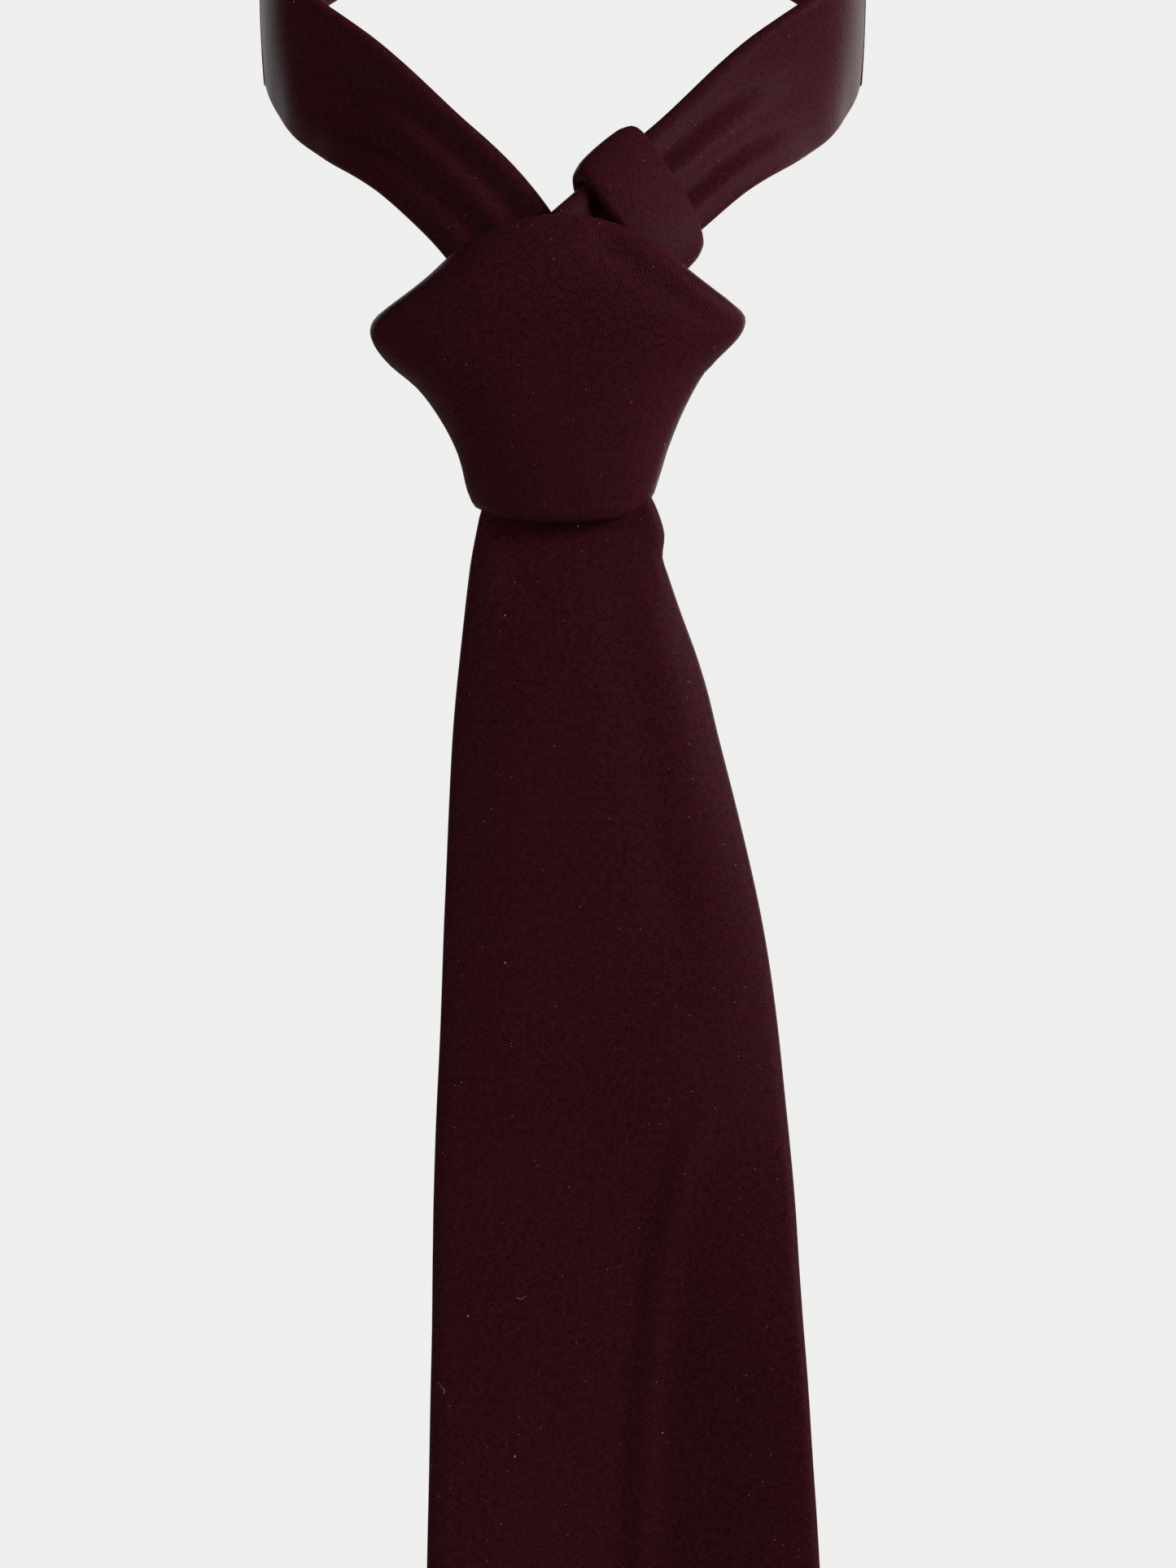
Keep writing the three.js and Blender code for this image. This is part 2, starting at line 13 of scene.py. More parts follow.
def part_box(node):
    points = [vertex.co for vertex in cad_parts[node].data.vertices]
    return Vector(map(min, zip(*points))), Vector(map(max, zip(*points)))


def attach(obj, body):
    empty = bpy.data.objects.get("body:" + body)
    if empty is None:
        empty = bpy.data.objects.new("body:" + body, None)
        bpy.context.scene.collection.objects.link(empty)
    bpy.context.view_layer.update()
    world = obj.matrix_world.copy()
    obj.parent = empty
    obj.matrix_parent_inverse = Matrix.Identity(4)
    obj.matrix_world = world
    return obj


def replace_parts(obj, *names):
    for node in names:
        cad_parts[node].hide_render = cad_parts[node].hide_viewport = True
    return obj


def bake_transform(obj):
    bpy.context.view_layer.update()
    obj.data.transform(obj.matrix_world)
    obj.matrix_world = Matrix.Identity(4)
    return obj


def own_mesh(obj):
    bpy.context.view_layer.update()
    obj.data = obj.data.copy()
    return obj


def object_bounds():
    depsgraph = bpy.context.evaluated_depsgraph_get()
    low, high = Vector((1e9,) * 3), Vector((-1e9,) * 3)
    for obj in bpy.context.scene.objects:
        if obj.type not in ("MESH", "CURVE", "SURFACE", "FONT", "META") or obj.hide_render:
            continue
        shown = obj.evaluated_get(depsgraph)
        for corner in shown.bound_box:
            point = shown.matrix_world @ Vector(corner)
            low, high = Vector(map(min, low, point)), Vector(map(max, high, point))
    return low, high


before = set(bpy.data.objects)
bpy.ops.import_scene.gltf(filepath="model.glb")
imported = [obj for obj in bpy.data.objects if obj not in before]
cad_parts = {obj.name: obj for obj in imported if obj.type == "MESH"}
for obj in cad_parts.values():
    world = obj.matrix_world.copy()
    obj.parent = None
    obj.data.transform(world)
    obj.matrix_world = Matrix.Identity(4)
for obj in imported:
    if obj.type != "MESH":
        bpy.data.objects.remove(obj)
CAD_BOX = [list(corner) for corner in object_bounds()]

MM = 0.001
FORWARD = Vector((0, -1, 0))
NOISE_SEED = 5  # without it, the unevenness of the cloth would differ from run to run
noise.seed_set(NOISE_SEED)

# ---- shape of the tie, as in its CAD ----

CLOTH = 0.55  # thickness of one layer of shell cloth
FELT = 0.8
LINING = 0.25
LAYER = 0.8  # step between two layers that lie on each other
LINING_GAP = 0.35  # between the shell cloth and the layers inside it
LAP = 3.0  # how far the flaps reach past the back seam
STITCH_PITCH = 8.0
SEAM_THREAD = 0.24  # radius, as in the next two
PIECING_THREAD = 0.22
TACK_THREAD = 0.2

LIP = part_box("knot_front_wrap")[0].z / MM - 1
KNOT_HEIGHT = 58.6
KNOT_TOP = LIP + KNOT_HEIGHT
SQUARENESS = 2.6
SHOULDER_DROP = 12
WRAP_WALL = 4.0
LIP_OVERHANG = 0.6  # the lip's face hangs this much lower for each millimetre further out
WRAP_START = 2.55  # angle from the front, behind one shoulder, where the turn begins

LOOP_TILT = math.radians(30)
LOOP_HALF_WIDTH = 60
LOOP_HALF_DEPTH = 64
NECK_THICKNESS = 3.2
NECK_WIDTH = 33
ENTRY_WIDTH = 22
NECK_CROWN = 0.5  # how much the face of the strap swells
NECK_STEP = 2.5
NECK_SAMPLES = 600
PANEL_SEAM = 105  # from the nape to each joining seam
SEAM_GAP = 0.25  # from a joining seam to the cloth of the leg
LEG_END = 6  # how far the legs stop short of the loop's lowest point
FELT_INSET = 3  # of the felt in from the edges of the neck band
PIECING_STITCHES = 24
LEG_ROUTE = [(42, -38, -24), (28, -52, -36), (16, -61, -48), (9, -65, -58), (5, -65.5, -68)]

BLADE_MIDDLE = -69
BLADE_THICKNESS = 4.0
TAIL_MIDDLE = -63.9
TAIL_THICKNESS = 3.4
KEEPER_DEPTH = 205
LABEL_DEPTH = 336
FEED_TOP = 24  # where the stretch of tail starts that feeds up through the knot
FEED_END = 129


def mix(a, b, share):
    return a + (b - a) * share


def spaced(start, end, count):
    return [mix(start, end, i / count) for i in range(count + 1)]


def ease(value, low, high):
    share = min(max((value - low) / (high - low), 0), 1)
    return share * share * (3 - 2 * share)


def smooth(pairs):
    """A function through (input, value) pairs, with each slope taken from the neighbours."""
    last = len(pairs) - 1
    slopes = []
    for i in range(last + 1):
        before, after = pairs[max(i - 1, 0)], pairs[min(i + 1, last)]
        slopes.append((after[1] - before[1]) / (after[0] - before[0]))

    def value(x):
        i = 0
        while i < last - 1 and x > pairs[i + 1][0]:
            i += 1
        (x0, y0), (x1, y1) = pairs[i], pairs[i + 1]
        t = (x - x0) / (x1 - x0)
        if t < 0:
            return y0 + slopes[i] * (x - x0)
        if t > 1:
            return y1 + slopes[i + 1] * (x - x1)
        bend = (1 - t) * slopes[i] - t * slopes[i + 1]
        return y0 + (y1 - y0) * t * t * (3 - 2 * t) + (x1 - x0) * t * (1 - t) * bend

    return value


# ---- cloth built from grids of points ----


def row_length(row):
    return sum((b - a).length for a, b in zip(row, row[1:]))


class Sheet:
    """Grids of points, each point with its place on the flat cloth, in millimetres."""

    def __init__(self):
        self.points = []
        self.weave = []
        self.faces = []
        self.width = 0
        self.length = 0
        self.area = 0

    def grid(self, rows, weave):
        base = len(self.points)
        count = len(rows[0])
        for row, marks in zip(rows, weave):
            self.points += [Vector(p) for p in row]
            self.weave += marks
        for j in range(len(rows) - 1):
            for i in range(count - 1):
                a = base + j * count + i
                self.faces.append((a, a + 1, a + count + 1, a + count))
                p, q, r, s = (self.points[k] for k in self.faces[-1])
                self.area += ((q - p).cross(s - p).length + (q - r).cross(s - r).length) / 2
        self.width = max(self.width, *(row_length(row) for row in rows))
        self.length += max(row_length([row[i] for row in rows]) for i in (0, count // 2, count - 1))
        return self


UNEVEN_GRAIN = 0.045


def soften(point, size):
    """Moves a point a little, as nothing in cloth is perfectly even."""
    return point + noise.noise_vector(point * UNEVEN_GRAIN) * size


WELD_REACH = 2e-6  # metres
SHARP_EDGE = math.radians(55)


def make(name, sheet, material, wall=CLOTH, uneven=0.22):
    """A mesh piece from a sheet, given a wall on its inner side."""
    mesh = bpy.data.meshes.new(name)
    mesh.from_pydata([soften(p, uneven) * MM for p in sheet.points], [], sheet.faces)
    marks = mesh.uv_layers.new(name="weave")
    for loop in mesh.loops:
        marks.data[loop.index].uv = sheet.weave[loop.vertex_index]
    form = bmesh.new()
    form.from_mesh(mesh)
    bmesh.ops.remove_doubles(form, verts=form.verts, dist=WELD_REACH)
    form.to_mesh(mesh)
    form.free()
    piece = bpy.data.objects.new(name, mesh)
    bpy.context.scene.collection.objects.link(piece)
    if wall:
        shell = piece.modifiers.new("wall", "SOLIDIFY")
        shell.thickness = wall * MM
        shell.offset = -1
        shell.use_even_offset = True
        shell.thickness_clamp = 1.5
        bpy.context.view_layer.objects.active = piece
        bpy.ops.object.modifier_apply(modifier="wall")
    for face in piece.data.polygons:
        face.use_smooth = True
    piece.data.set_sharp_from_angle(angle=SHARP_EDGE)
    piece.data.materials.append(material)
    return piece


# steps across each flap, round each folded edge and across the face
FLAP_STEPS = 9
EDGE_STEPS = 7
FACE_STEPS = 34
FACE_MIDDLE = FLAP_STEPS + EDGE_STEPS + FACE_STEPS // 2


def fold(width, thickness, ends=(-LAP, LAP), crown=0.0):
    """(across, out) points of strap cloth folded into an envelope, seen along the strap.

    They run from the edge of the under flap, round both folded edges, to that of the over flap.
    """
    radius = thickness / 2
    reach = width / 2 - radius
    points = []
    for i in range(FLAP_STEPS):
        u = mix(ends[0], reach, i / FLAP_STEPS)
        points.append((u, LAYER * (1 - ease(abs(u), LAP + 1, LAP + 6)) - radius))
    turn = [math.pi * (i / EDGE_STEPS - 0.5) for i in range(EDGE_STEPS + 1)]
    points += [(reach + radius * math.cos(a), radius * math.sin(a)) for a in turn]
    for i in range(1, FACE_STEPS):
        u = mix(reach, -reach, i / FACE_STEPS)
        points.append((u, radius + crown * (1 - (u / reach) ** 2)))
    points += [(-reach - radius * math.cos(a), radius * math.sin(a)) for a in reversed(turn)]
    for i in range(1, FLAP_STEPS + 1):
        points.append((mix(-reach, ends[1], i / FLAP_STEPS), -radius))
    return points


def marks_across(section):
    """The flat place of each point of a folded section, 0 at the middle of its face."""
    run = [0.0]
    for a, b in zip(section, section[1:]):
        run.append(run[-1] + math.dist(a, b))
    middle = run[FACE_MIDDLE]
    return [middle - mark for mark in run]


def strap(stations, section_at):
    """A folded strap carried along stations of (place, across, face, distance)."""
    rows, weave = [], []
    for station in stations:
        at, across, face, along = station
        section = section_at(station)
        rows.append([at + across * u + face * v for u, v in section])
        weave.append([(mark, along) for mark in marks_across(section)])
    return Sheet().grid(rows, weave)


class Path:
    """A smooth line through points, measured by length."""

    def __init__(self, points, samples=400):
        self.points = [Vector(p) for p in points]
        self.line = [self._at(i / samples) for i in range(samples + 1)]
        self.run = [0.0]
        for a, b in zip(self.line, self.line[1:]):
            self.run.append(self.run[-1] + (b - a).length)
        self.length = self.run[-1]

    def _at(self, share):
        p = self.points
        last = len(p) - 1
        i = min(int(last * share), last - 1)
        t = last * share - i
        before = p[i - 1] if i > 0 else 2 * p[0] - p[1]
        after = p[i + 2] if i + 2 <= last else 2 * p[last] - p[last - 1]
        d0, d1, d2 = (
            math.sqrt((b - a).length)
            for a, b in ((before, p[i]), (p[i], p[i + 1]), (p[i + 1], after))
        )
        chord = (p[i + 1] - p[i]) / d1
        start = ((p[i] - before) / d0 - (p[i + 1] - before) / (d0 + d1) + chord) * d1
        end = (chord - (after - p[i]) / (d1 + d2) + (after - p[i + 1]) / d2) * d1
        t2, t3 = t * t, t * t * t
        return (
            p[i] * (2 * t3 - 3 * t2 + 1)
            + start * (t3 - 2 * t2 + t)
            + p[i + 1] * (3 * t2 - 2 * t3)
            + end * (t3 - t2)
        )

    def at(self, distance):
        """The place and the direction at a distance from the start."""
        distance = min(max(distance, 0), self.length)
        i = 0
        step = 256
        while step:
            if i + step < len(self.run) - 1 and self.run[i + step] <= distance:
                i += step
            step //= 2
        span = self.run[i + 1] - self.run[i]
        a, b = self.line[i], self.line[i + 1]
        before, after = self.line[max(i - 2, 0)], self.line[min(i + 3, len(self.line) - 1)]
        return a.lerp(b, (distance - self.run[i]) / span), (after - before).normalized()


# ---- materials ----


def node(tree, kind, inputs=None, **settings):
    made = tree.nodes.new(kind)
    for key, value in settings.items():
        setattr(made, key, value)
    for key, value in (inputs or {}).items():
        if isinstance(value, bpy.types.NodeSocket):
            tree.links.new(value, made.inputs[key])
        else:
            made.inputs[key].default_value = value
    return made


def math_of(tree, operation, a, b=0.0):
    return node(tree, "ShaderNodeMath", {0: a, 1: b}, operation=operation).outputs[0]


def woven_place(tree):
    """The place on the flat cloth, in millimetres."""
    return node(tree, "ShaderNodeUVMap", uv_map="weave").outputs[0]


def noise_of(tree, place, scale, detail, roughness=0.5):
    inputs = {"Vector": place, "Scale": scale, "Detail": detail, "Roughness": roughness}
    return node(tree, "ShaderNodeTexNoise", inputs).outputs["Fac"]


def waves_of(tree, place, scale, direction, wander):
    """Bands of a wave texture, with the inputs that make them wander."""
    inputs = {"Vector": place, "Scale": scale, **wander}
    return node(tree, "ShaderNodeTexWave", inputs, bands_direction=direction).outputs["Fac"]


def mapped(tree, place, change):
    """A place turned or stretched."""
    return node(tree, "ShaderNodeMapping", {"Vector": place, **change}).outputs[0]


def summed(tree, start, *terms):
    """The sum of a number and of values, each times its weight."""
    total = start
    for value, weight in terms:
        inputs = {0: value, 1: weight, 2: total}
        total = node(tree, "ShaderNodeMath", inputs, operation="MULTIPLY_ADD").outputs[0]
    return total


def mixed(tree, share, a, b):
    inputs = {0: share, 6: a, 7: b}
    made = node(tree, "ShaderNodeMix", inputs, data_type="RGBA", clamp_factor=True)
    return made.outputs[2]


WAVE_UNIT = 0.314159  # a wave texture of this scale has one band a unit

# colours of the twill: between its ribs (partly painted shade in the low places of its relief,
# partly its own darker grain), on them, in its slow clouds, and the lint on it
DEEP = (0.0070, 0.0009, 0.0015, 1)
BURGUNDY = (0.0350, 0.0054, 0.0080, 1)
PLUM = (0.0240, 0.0042, 0.0084, 1)
LINT = (0.34, 0.22, 0.23, 1)


def dots(tree, place, scale, radius, share):
    """1 inside round dots of a radius, in a share of the cells of a random mosaic."""
    cells = node(tree, "ShaderNodeTexVoronoi", {"Vector": place, "Scale": scale}, feature="F1")
    near = math_of(tree, "LESS_THAN", cells.outputs["Distance"], radius * scale)
    pick = node(tree, "ShaderNodeSeparateColor", {0: cells.outputs["Color"]})
    chosen = math_of(tree, "LESS_THAN", pick.outputs[0], share)
    return math_of(tree, "MULTIPLY", near, chosen)


def lint_share(tree):
    """Specks of lint, and a few short curved hairs, which are stretches of a noise's contour."""
    place = woven_place(tree)
    specks = dots(tree, place, scale=0.13, radius=0.2, share=0.5)
    dust = dots(tree, place, scale=0.45, radius=0.15, share=0.4)
    waves = noise_of(tree, place, 0.2, detail=0.0)
    level = math_of(tree, "ABSOLUTE", math_of(tree, "SUBTRACT", waves, 0.5))
    contour = math_of(tree, "LESS_THAN", level, 0.006)
    patches = dots(tree, place, scale=0.045, radius=1.5, share=0.5)
    hairs = math_of(tree, "MULTIPLY", contour, patches)
    return summed(tree, 0.0, (specks, 0.5), (dust, 0.18), (hairs, 0.3))


CLOTH_SPECULAR = 0.014
SHEEN_ROUGHNESS = 0.38
SHEEN_TINT = (0.95, 0.48, 0.58, 1)
RELIEF_HEIGHT = 0.00018  # metres


def finish_cloth(material, color, height, roughness, sheen, bump):
    """Puts a colour and a relief on a material that is as matt as cloth."""
    tree = material.node_tree
    shader = tree.nodes["Principled BSDF"]
    tree.links.new(color, shader.inputs["Base Color"])
    shader.inputs["Roughness"].default_value = roughness
    shader.inputs["Specular IOR Level"].default_value = CLOTH_SPECULAR
    shader.inputs["Sheen Weight"].default_value = sheen
    shader.inputs["Sheen Roughness"].default_value = SHEEN_ROUGHNESS
    shader.inputs["Sheen Tint"].default_value = SHEEN_TINT
    inputs = {"Height": height, "Strength": bump, "Distance": RELIEF_HEIGHT}
    relief = node(tree, "ShaderNodeBump", inputs)
    tree.links.new(relief.outputs[0], shader.inputs["Normal"])


def new_material(name):
    made = bpy.data.materials.new(name)
    made.use_nodes = True
    return made


RIB_PITCH = 0.58
FLOAT_STRETCH = (0.8, 2.3, 1)  # a float is longer along its rib than across it


def twill(name, rib_degrees):
    """Satin-faced twill: fine ribs at an angle to the strap, made of short floats of thread."""
    made = new_material(name)
    tree = made.node_tree
    place = woven_place(tree)
    turned = mapped(tree, place, {"Rotation": (0, 0, -math.radians(rib_degrees))})
    wander = {"Distortion": 2.2, "Detail": 2.0, "Detail Scale": 1.8, "Detail Roughness": 0.7}
    ribs = waves_of(tree, turned, WAVE_UNIT / RIB_PITCH, "Y", wander)
    floats = noise_of(tree, mapped(tree, turned, {"Scale": FLOAT_STRETCH}), 2.0, detail=2.0)
    grain = noise_of(tree, place, 0.8, detail=4.0, roughness=0.8)
    clouds = noise_of(tree, place, 0.035, detail=3.0)
    height = summed(tree, 0.0, (ribs, 0.3), (floats, 1.7))
    # darker where the relief is low: painted shade between the ribs and floats, mixed with random
    # grain
    color = mixed(tree, summed(tree, -1.35, (height, 1.0), (grain, 1.7)), DEEP, BURGUNDY)
    color = mixed(tree, summed(tree, -0.5, (clouds, 1.1)), color, PLUM)
    color = mixed(tree, lint_share(tree), color, LINT)
    finish_cloth(made, color, height, roughness=0.5, sheen=0.006, bump=0.3)
    return made


def plain_weave(name, color, shade, pitch, roughness):
    """A plain weave of crossing threads, for the lining and the label tape."""
    made = new_material(name)
    tree = made.node_tree
    place = woven_place(tree)
    wander = {"Distortion": 0.6, "Detail": 1.0}
    waves = [waves_of(tree, place, WAVE_UNIT / pitch, direction, wander) for direction in "XY"]
    height = math_of(tree, "MULTIPLY", math_of(tree, "ADD", *waves), 0.5)
    finish_cloth(made, mixed(tree, height, shade, color), height, roughness, sheen=0.03, bump=0.3)
    return made


def wool_felt(name):
    """The brushed interlining: a matt felt of short fibres."""
    made = new_material(name)
    tree = made.node_tree
    place = node(tree, "ShaderNodeTexCoord").outputs["Object"]
    fibres = noise_of(tree, place, 1400, detail=4.0)
    color = mixed(tree, fibres, (0.50, 0.45, 0.37, 1), (0.80, 0.76, 0.66, 1))
    finish_cloth(made, color, fibres, roughness=0.95, sheen=0.1, bump=0.5)
    return made


def twisted_thread(name):
    """Sewing thread with the fine slant of its twist."""
    made = new_material(name)
    tree = made.node_tree
    place = node(tree, "ShaderNodeTexCoord").outputs["Object"]
    twist = waves_of(tree, place, 900, "DIAGONAL", {"Distortion": 1.0})
    color = mixed(tree, twist, (0.022, 0.004, 0.006, 1), (0.058, 0.011, 0.017, 1))
    finish_cloth(made, color, twist, roughness=0.45, sheen=0.05, bump=0.3)
    return made


knot_twill = twill("knot_twill", 76)
blade_twill = twill("blade_twill", -17)
strap_twill = twill("strap_twill", 45)
lining_weave = plain_weave(
    "lining_weave",
    color=(0.045, 0.007, 0.011, 1),
    shade=(0.02, 0.003, 0.005, 1),
    pitch=0.4,
    roughness=0.38,
)
tape_weave = plain_weave(
    "tape_weave",
    color=(0.040, 0.012, 0.016, 1),
    shade=(0.015, 0.004, 0.006, 1),
    pitch=0.5,
    roughness=0.55,
)
felt = wool_felt("wool_felt")
sewing = twisted_thread("twisted_thread")

# ---- sewing ----

THREAD_SIDES = 6
THREAD_SAMPLES = 60
THREAD_END = 0.45  # how thin a thread is at its ends
THREAD_NORMAL = Vector((0.31, 0.87, 0.38))  # any direction that no stitch runs along


def thread(name, lines, radius):
    """One mesh of sewing thread that follows several lines of points."""
    sheet = Sheet()
    for line in lines:
        path = Path(line, THREAD_SAMPLES)
        steps = 3 * len(line)
        rows, weave = [], []
        for i in range(steps + 1):
            along = path.length * i / steps
            at, tangent = path.at(along)
            side = tangent.cross(THREAD_NORMAL).normalized()
            other = tangent.cross(side)
            thin = radius * (THREAD_END if i in (0, steps) else 1)
            ring = [2 * math.pi * k / THREAD_SIDES for k in range(THREAD_SIDES + 1)]
            rows.append([at + (side * math.cos(a) + other * math.sin(a)) * thin for a in ring])
            weave.append([(a * radius, along) for a in ring])
        sheet.grid(rows, weave)
    return make(name, sheet, sewing, wall=0, uneven=0)


def sew(name, lines, radius, replaced, body):
    """A piece of thread that rides a body, in place of a CAD node if it has one."""
    piece = thread(name, lines, radius)
    if replaced:
        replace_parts(piece, replaced)
    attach(piece, body)
    return piece


# the points of a stitch: along the seam, across the flap's edge, and over the cloth
STITCH = ((-1.1, -0.9, -0.1), (-0.5, -0.4, 0.24), (0.4, 0.4, 0.05), (1.1, 0.9, -0.75))


def seam_stitches(place_at, start, end):
    """Short slanting stitches that catch the over flap's edge, at places along a seam."""
    lines = []
    for i in range(int((end - start) / STITCH_PITCH)):
        along = start + STITCH_PITCH * (i + 0.5)
        edge = LAP + 0.25 * math.sin(i * 2.3)
        lines.append([place_at(along + a, edge + b, lift) for a, b, lift in STITCH])
    return lines


TACK_HEIGHT = 2.4
TACK_PASSES = 16


def tack_line(place_at, depth, length):
    """One zigzag of thread that makes a bar tack across a seam."""
    line = []
    for i in range(TACK_PASSES + 1):
        side = length / 2 if i % 2 else -length / 2
        along = depth + mix(-TACK_HEIGHT / 2, TACK_HEIGHT / 2, i / TACK_PASSES)
        line.append(place_at(along, side, -0.15))
        line.append(place_at(along + 0.1, 0, 0.4))
    return line


# ---- neck loop ----

LOOP_BACK = Vector((0, math.cos(LOOP_TILT), math.sin(LOOP_TILT)))


def beside_neck(degrees):
    angle = math.radians(degrees)
    aside = Vector((LOOP_HALF_WIDTH * math.sin(angle), 0, 0))
    return aside - LOOP_BACK * (LOOP_HALF_DEPTH * math.cos(angle))


right_half = [beside_neck(180 - 23 * i) for i in range(6)] + [Vector(p) for p in LEG_ROUTE]
left_half = [Vector((-p.x, p.y, p.z)) for p in right_half[1:]]
loop = Path(left_half[::-1] + right_half, NECK_SAMPLES)
HALF_LOOP = loop.length / 2


def turned_to_knot(depth):
    """0 round the neck, 1 where the strap faces forward at the knot."""
    return ease(-depth, 20, 66)


def loop_station(distance):
    """The strap at a distance from the nape; the tail's leg is on the positive side."""
    at, tangent = loop.at(HALF_LOOP + distance)
    depth = at.dot(LOOP_BACK)
    outward = LOOP_BACK * (depth / LOOP_HALF_DEPTH**2)
    outward.x += at.x / LOOP_HALF_WIDTH**2
    outward.normalize()
    face = outward.lerp(FORWARD, turned_to_knot(depth))
    face = (face - tangent * face.dot(tangent)).normalized()
    return at, face.cross(tangent), face, distance


def gathers(u, half, amount):
    """Lengthwise folds of a strap that is drawn together."""
    return amount * math.cos(2.6 * math.pi * u / half + 0.7) * (1 - (u / half) ** 4)


def neck_section(station):
    """Folded cloth of the neck strap, narrower and gathered where it nears the knot."""
    turned = turned_to_knot(station[0].dot(LOOP_BACK))
    width = mix(NECK_WIDTH, ENTRY_WIDTH, turned)
    amount = 0.7 * ease(turned, 0.25, 1)
    section = fold(width, NECK_THICKNESS, crown=NECK_CROWN)
    return [(u, v + gathers(u, width / 2, amount) * (1 if v > 0 else 0.3)) for u, v in section]


def neck_strap(start, end):
    count = round((end - start) / NECK_STEP)
    stations = [loop_station(distance) for distance in spaced(start, end, count)]
    return strap(stations, neck_section)


def neck_felt():
    """The interlining of the neck band, a flat strip just under its face."""
    rows, weave = [], []
    half = NECK_WIDTH / 2 - FELT_INSET
    places = spaced(-half, half, 12)
    for distance in spaced(FELT_INSET - PANEL_SEAM, PANEL_SEAM - FELT_INSET, 80):
        at, across, face, _ = loop_station(distance)
        rows.append([at + across * u + face * 0.6 for u in places])
        weave.append([(u, distance) for u in places])
    return Sheet().grid(rows, weave)


def piecing_line(seam, side):
    """A zigzag of thread over a panel seam, on the face of the strap (side 1) or its back (-1)."""
    half = NECK_WIDTH / 2
    line = []
    for i in range(PIECING_STITCHES + 1):
        u = mix(-half + 1.2, half - 1.2, i / PIECING_STITCHES)
        at, across, face, _ = loop_station(seam + 0.18 * (-1) ** i)
        crown = NECK_CROWN * (1 - (u / half) ** 2) if side > 0 else 0
        line.append(at + across * u + face * side * (NECK_THICKNESS / 2 + crown - 0.1))
    return line


def add_neck_loop():
    band = neck_strap(-PANEL_SEAM, PANEL_SEAM)
    piece = make("neck_band_cloth", band, strap_twill)
    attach(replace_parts(piece, "neck_panel_shell"), "neck_loop")
    strip = neck_felt()
    piece = make("neck_interlining_felt", strip, felt, wall=FELT)
    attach(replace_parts(piece, "neck_interlining"), "neck_loop")
    legs = (("front", -1), ("tail", 1))
    for name, side in legs:
        ends = sorted((side * (PANEL_SEAM + SEAM_GAP), side * (HALF_LOOP - LEG_END)))
        leg = neck_strap(*ends)
        piece = make(f"{name}_leg_cloth", leg, strap_twill)
        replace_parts(piece, f"{name}_leg_shell", f"{name}_leg_lower")
        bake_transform(piece)
    for name, side in legs:
        lines = [piecing_line(side * PANEL_SEAM, face_side) for face_side in (1, -1)]
        seam = f"{name}_piecing_seam"
        sew(f"{name}_piecing_stitches", lines, PIECING_THREAD, seam, "neck_loop")


def add_neck_stitches():
    def place_at(distance, u, lift):
        at, across, face, _ = loop_station(distance)
        return at + across * u - face * (NECK_THICKNESS / 2 + lift)

    reach = PANEL_SEAM - 3
    stitches = seam_stitches(place_at, -reach, reach)
    sew("neck_stitches", stitches, SEAM_THREAD, "neck_slip_stitch", "neck_loop")


# ---- knot ----

# half widths and depths of the knot by height over its lip
knot_left = smooth(
    [(0, 16.2), (2, 17.0), (6, 18.3), (10, 19.0), (14, 20.2), (19.5, 23.0), (25.2, 27.1)]
    + [(31, 33.0), (38, 36.2), (46, 36.6), (58.6, 31)]
)
knot_right = smooth(
    [(0, 17.2), (4.8, 18.0), (10, 19.2), (14, 20.3), (21.4, 23.3), (29, 27.4), (31, 28.9)]
    + [(38.6, 33.2), (46, 35.4), (52, 34.8), (58.6, 30.5)]
)
knot_front = smooth([(0, -76.6), (12, -78.6), (32, -80), (48, -79.6), (58.6, -77.4)])
knot_back = smooth([(0, -57.6), (15, -55.2), (35, -54), (58.6, -55)])

KNOT_FRONT_LAYERS = -68  # y between the layers of the knot's front and those behind
LIP_BOW = 0.9  # how much higher the lip is at its sides than at its middle
LIP_CORNER_LEFT = 1.6
LIP_CORNER_RIGHT = 3.4

# hollows in the knot's front: start and end as (x, height), reach and depth
KNOT_CREASES = (
    ((-30, 47), (-7, 29), 7.5, 0.4),
    ((9, 53), (28, 43), 3.8, 1.5),
    ((-16, 46), (-9, 42), 6.0, -0.5),
    ((-12, 1), (-6, 17), 4.5, 0.3),
    ((11, 2), (8, 20), 5.0, 0.3),
)


def squared(value, squareness):
    """A circle's sine or cosine, changed to make an oval that is fuller at its corners."""
    return math.copysign(abs(value) ** (2 / squareness), value)


def knot_point(height, angle, inset):
    """A point of the knot by height over the lip, angle from its front and depth under its skin."""
    outwards = squared(math.sin(angle), SQUARENESS)
    forwards = squared(math.cos(angle), SQUARENESS)
    share = height / KNOT_HEIGHT
    drop = SHOULDER_DROP * ease(share, 0.45, 1) * outwards**2
    near_lip = 1 - ease(share, 0, 0.4)
    corner = LIP_CORNER_RIGHT if outwards > 0 else LIP_CORNER_LEFT
    rise = near_lip * (LIP_BOW * outwards**2 + corner * outwards**6)
    side = knot_left(height + rise) if outwards < 0 else knot_right(height + rise)
    front, back = knot_front(height), knot_back(height)
    x = outwards * (side - inset)
    y = (front + back) / 2 - forwards * ((back - front) / 2 - inset)
    return Vector((x, y, LIP + height - drop + rise))


def knot_creases(point, height):
    """How deep the soft hollows are where the knot's front is pulled towards its shoulders."""
    place = Vector((point.x, height))
    hollow = 0.0
    for start, end, reach, amount in KNOT_CREASES:
        along = Vector(end) - Vector(start)
        there = place - Vector(start)
        share = min(max(there.dot(along) / along.length_squared, 0), 1)
        away = (there - along * share).length
        hollow += amount * math.exp(-((away / reach) ** 2)) * (1 - 0.7 * share)
    return hollow


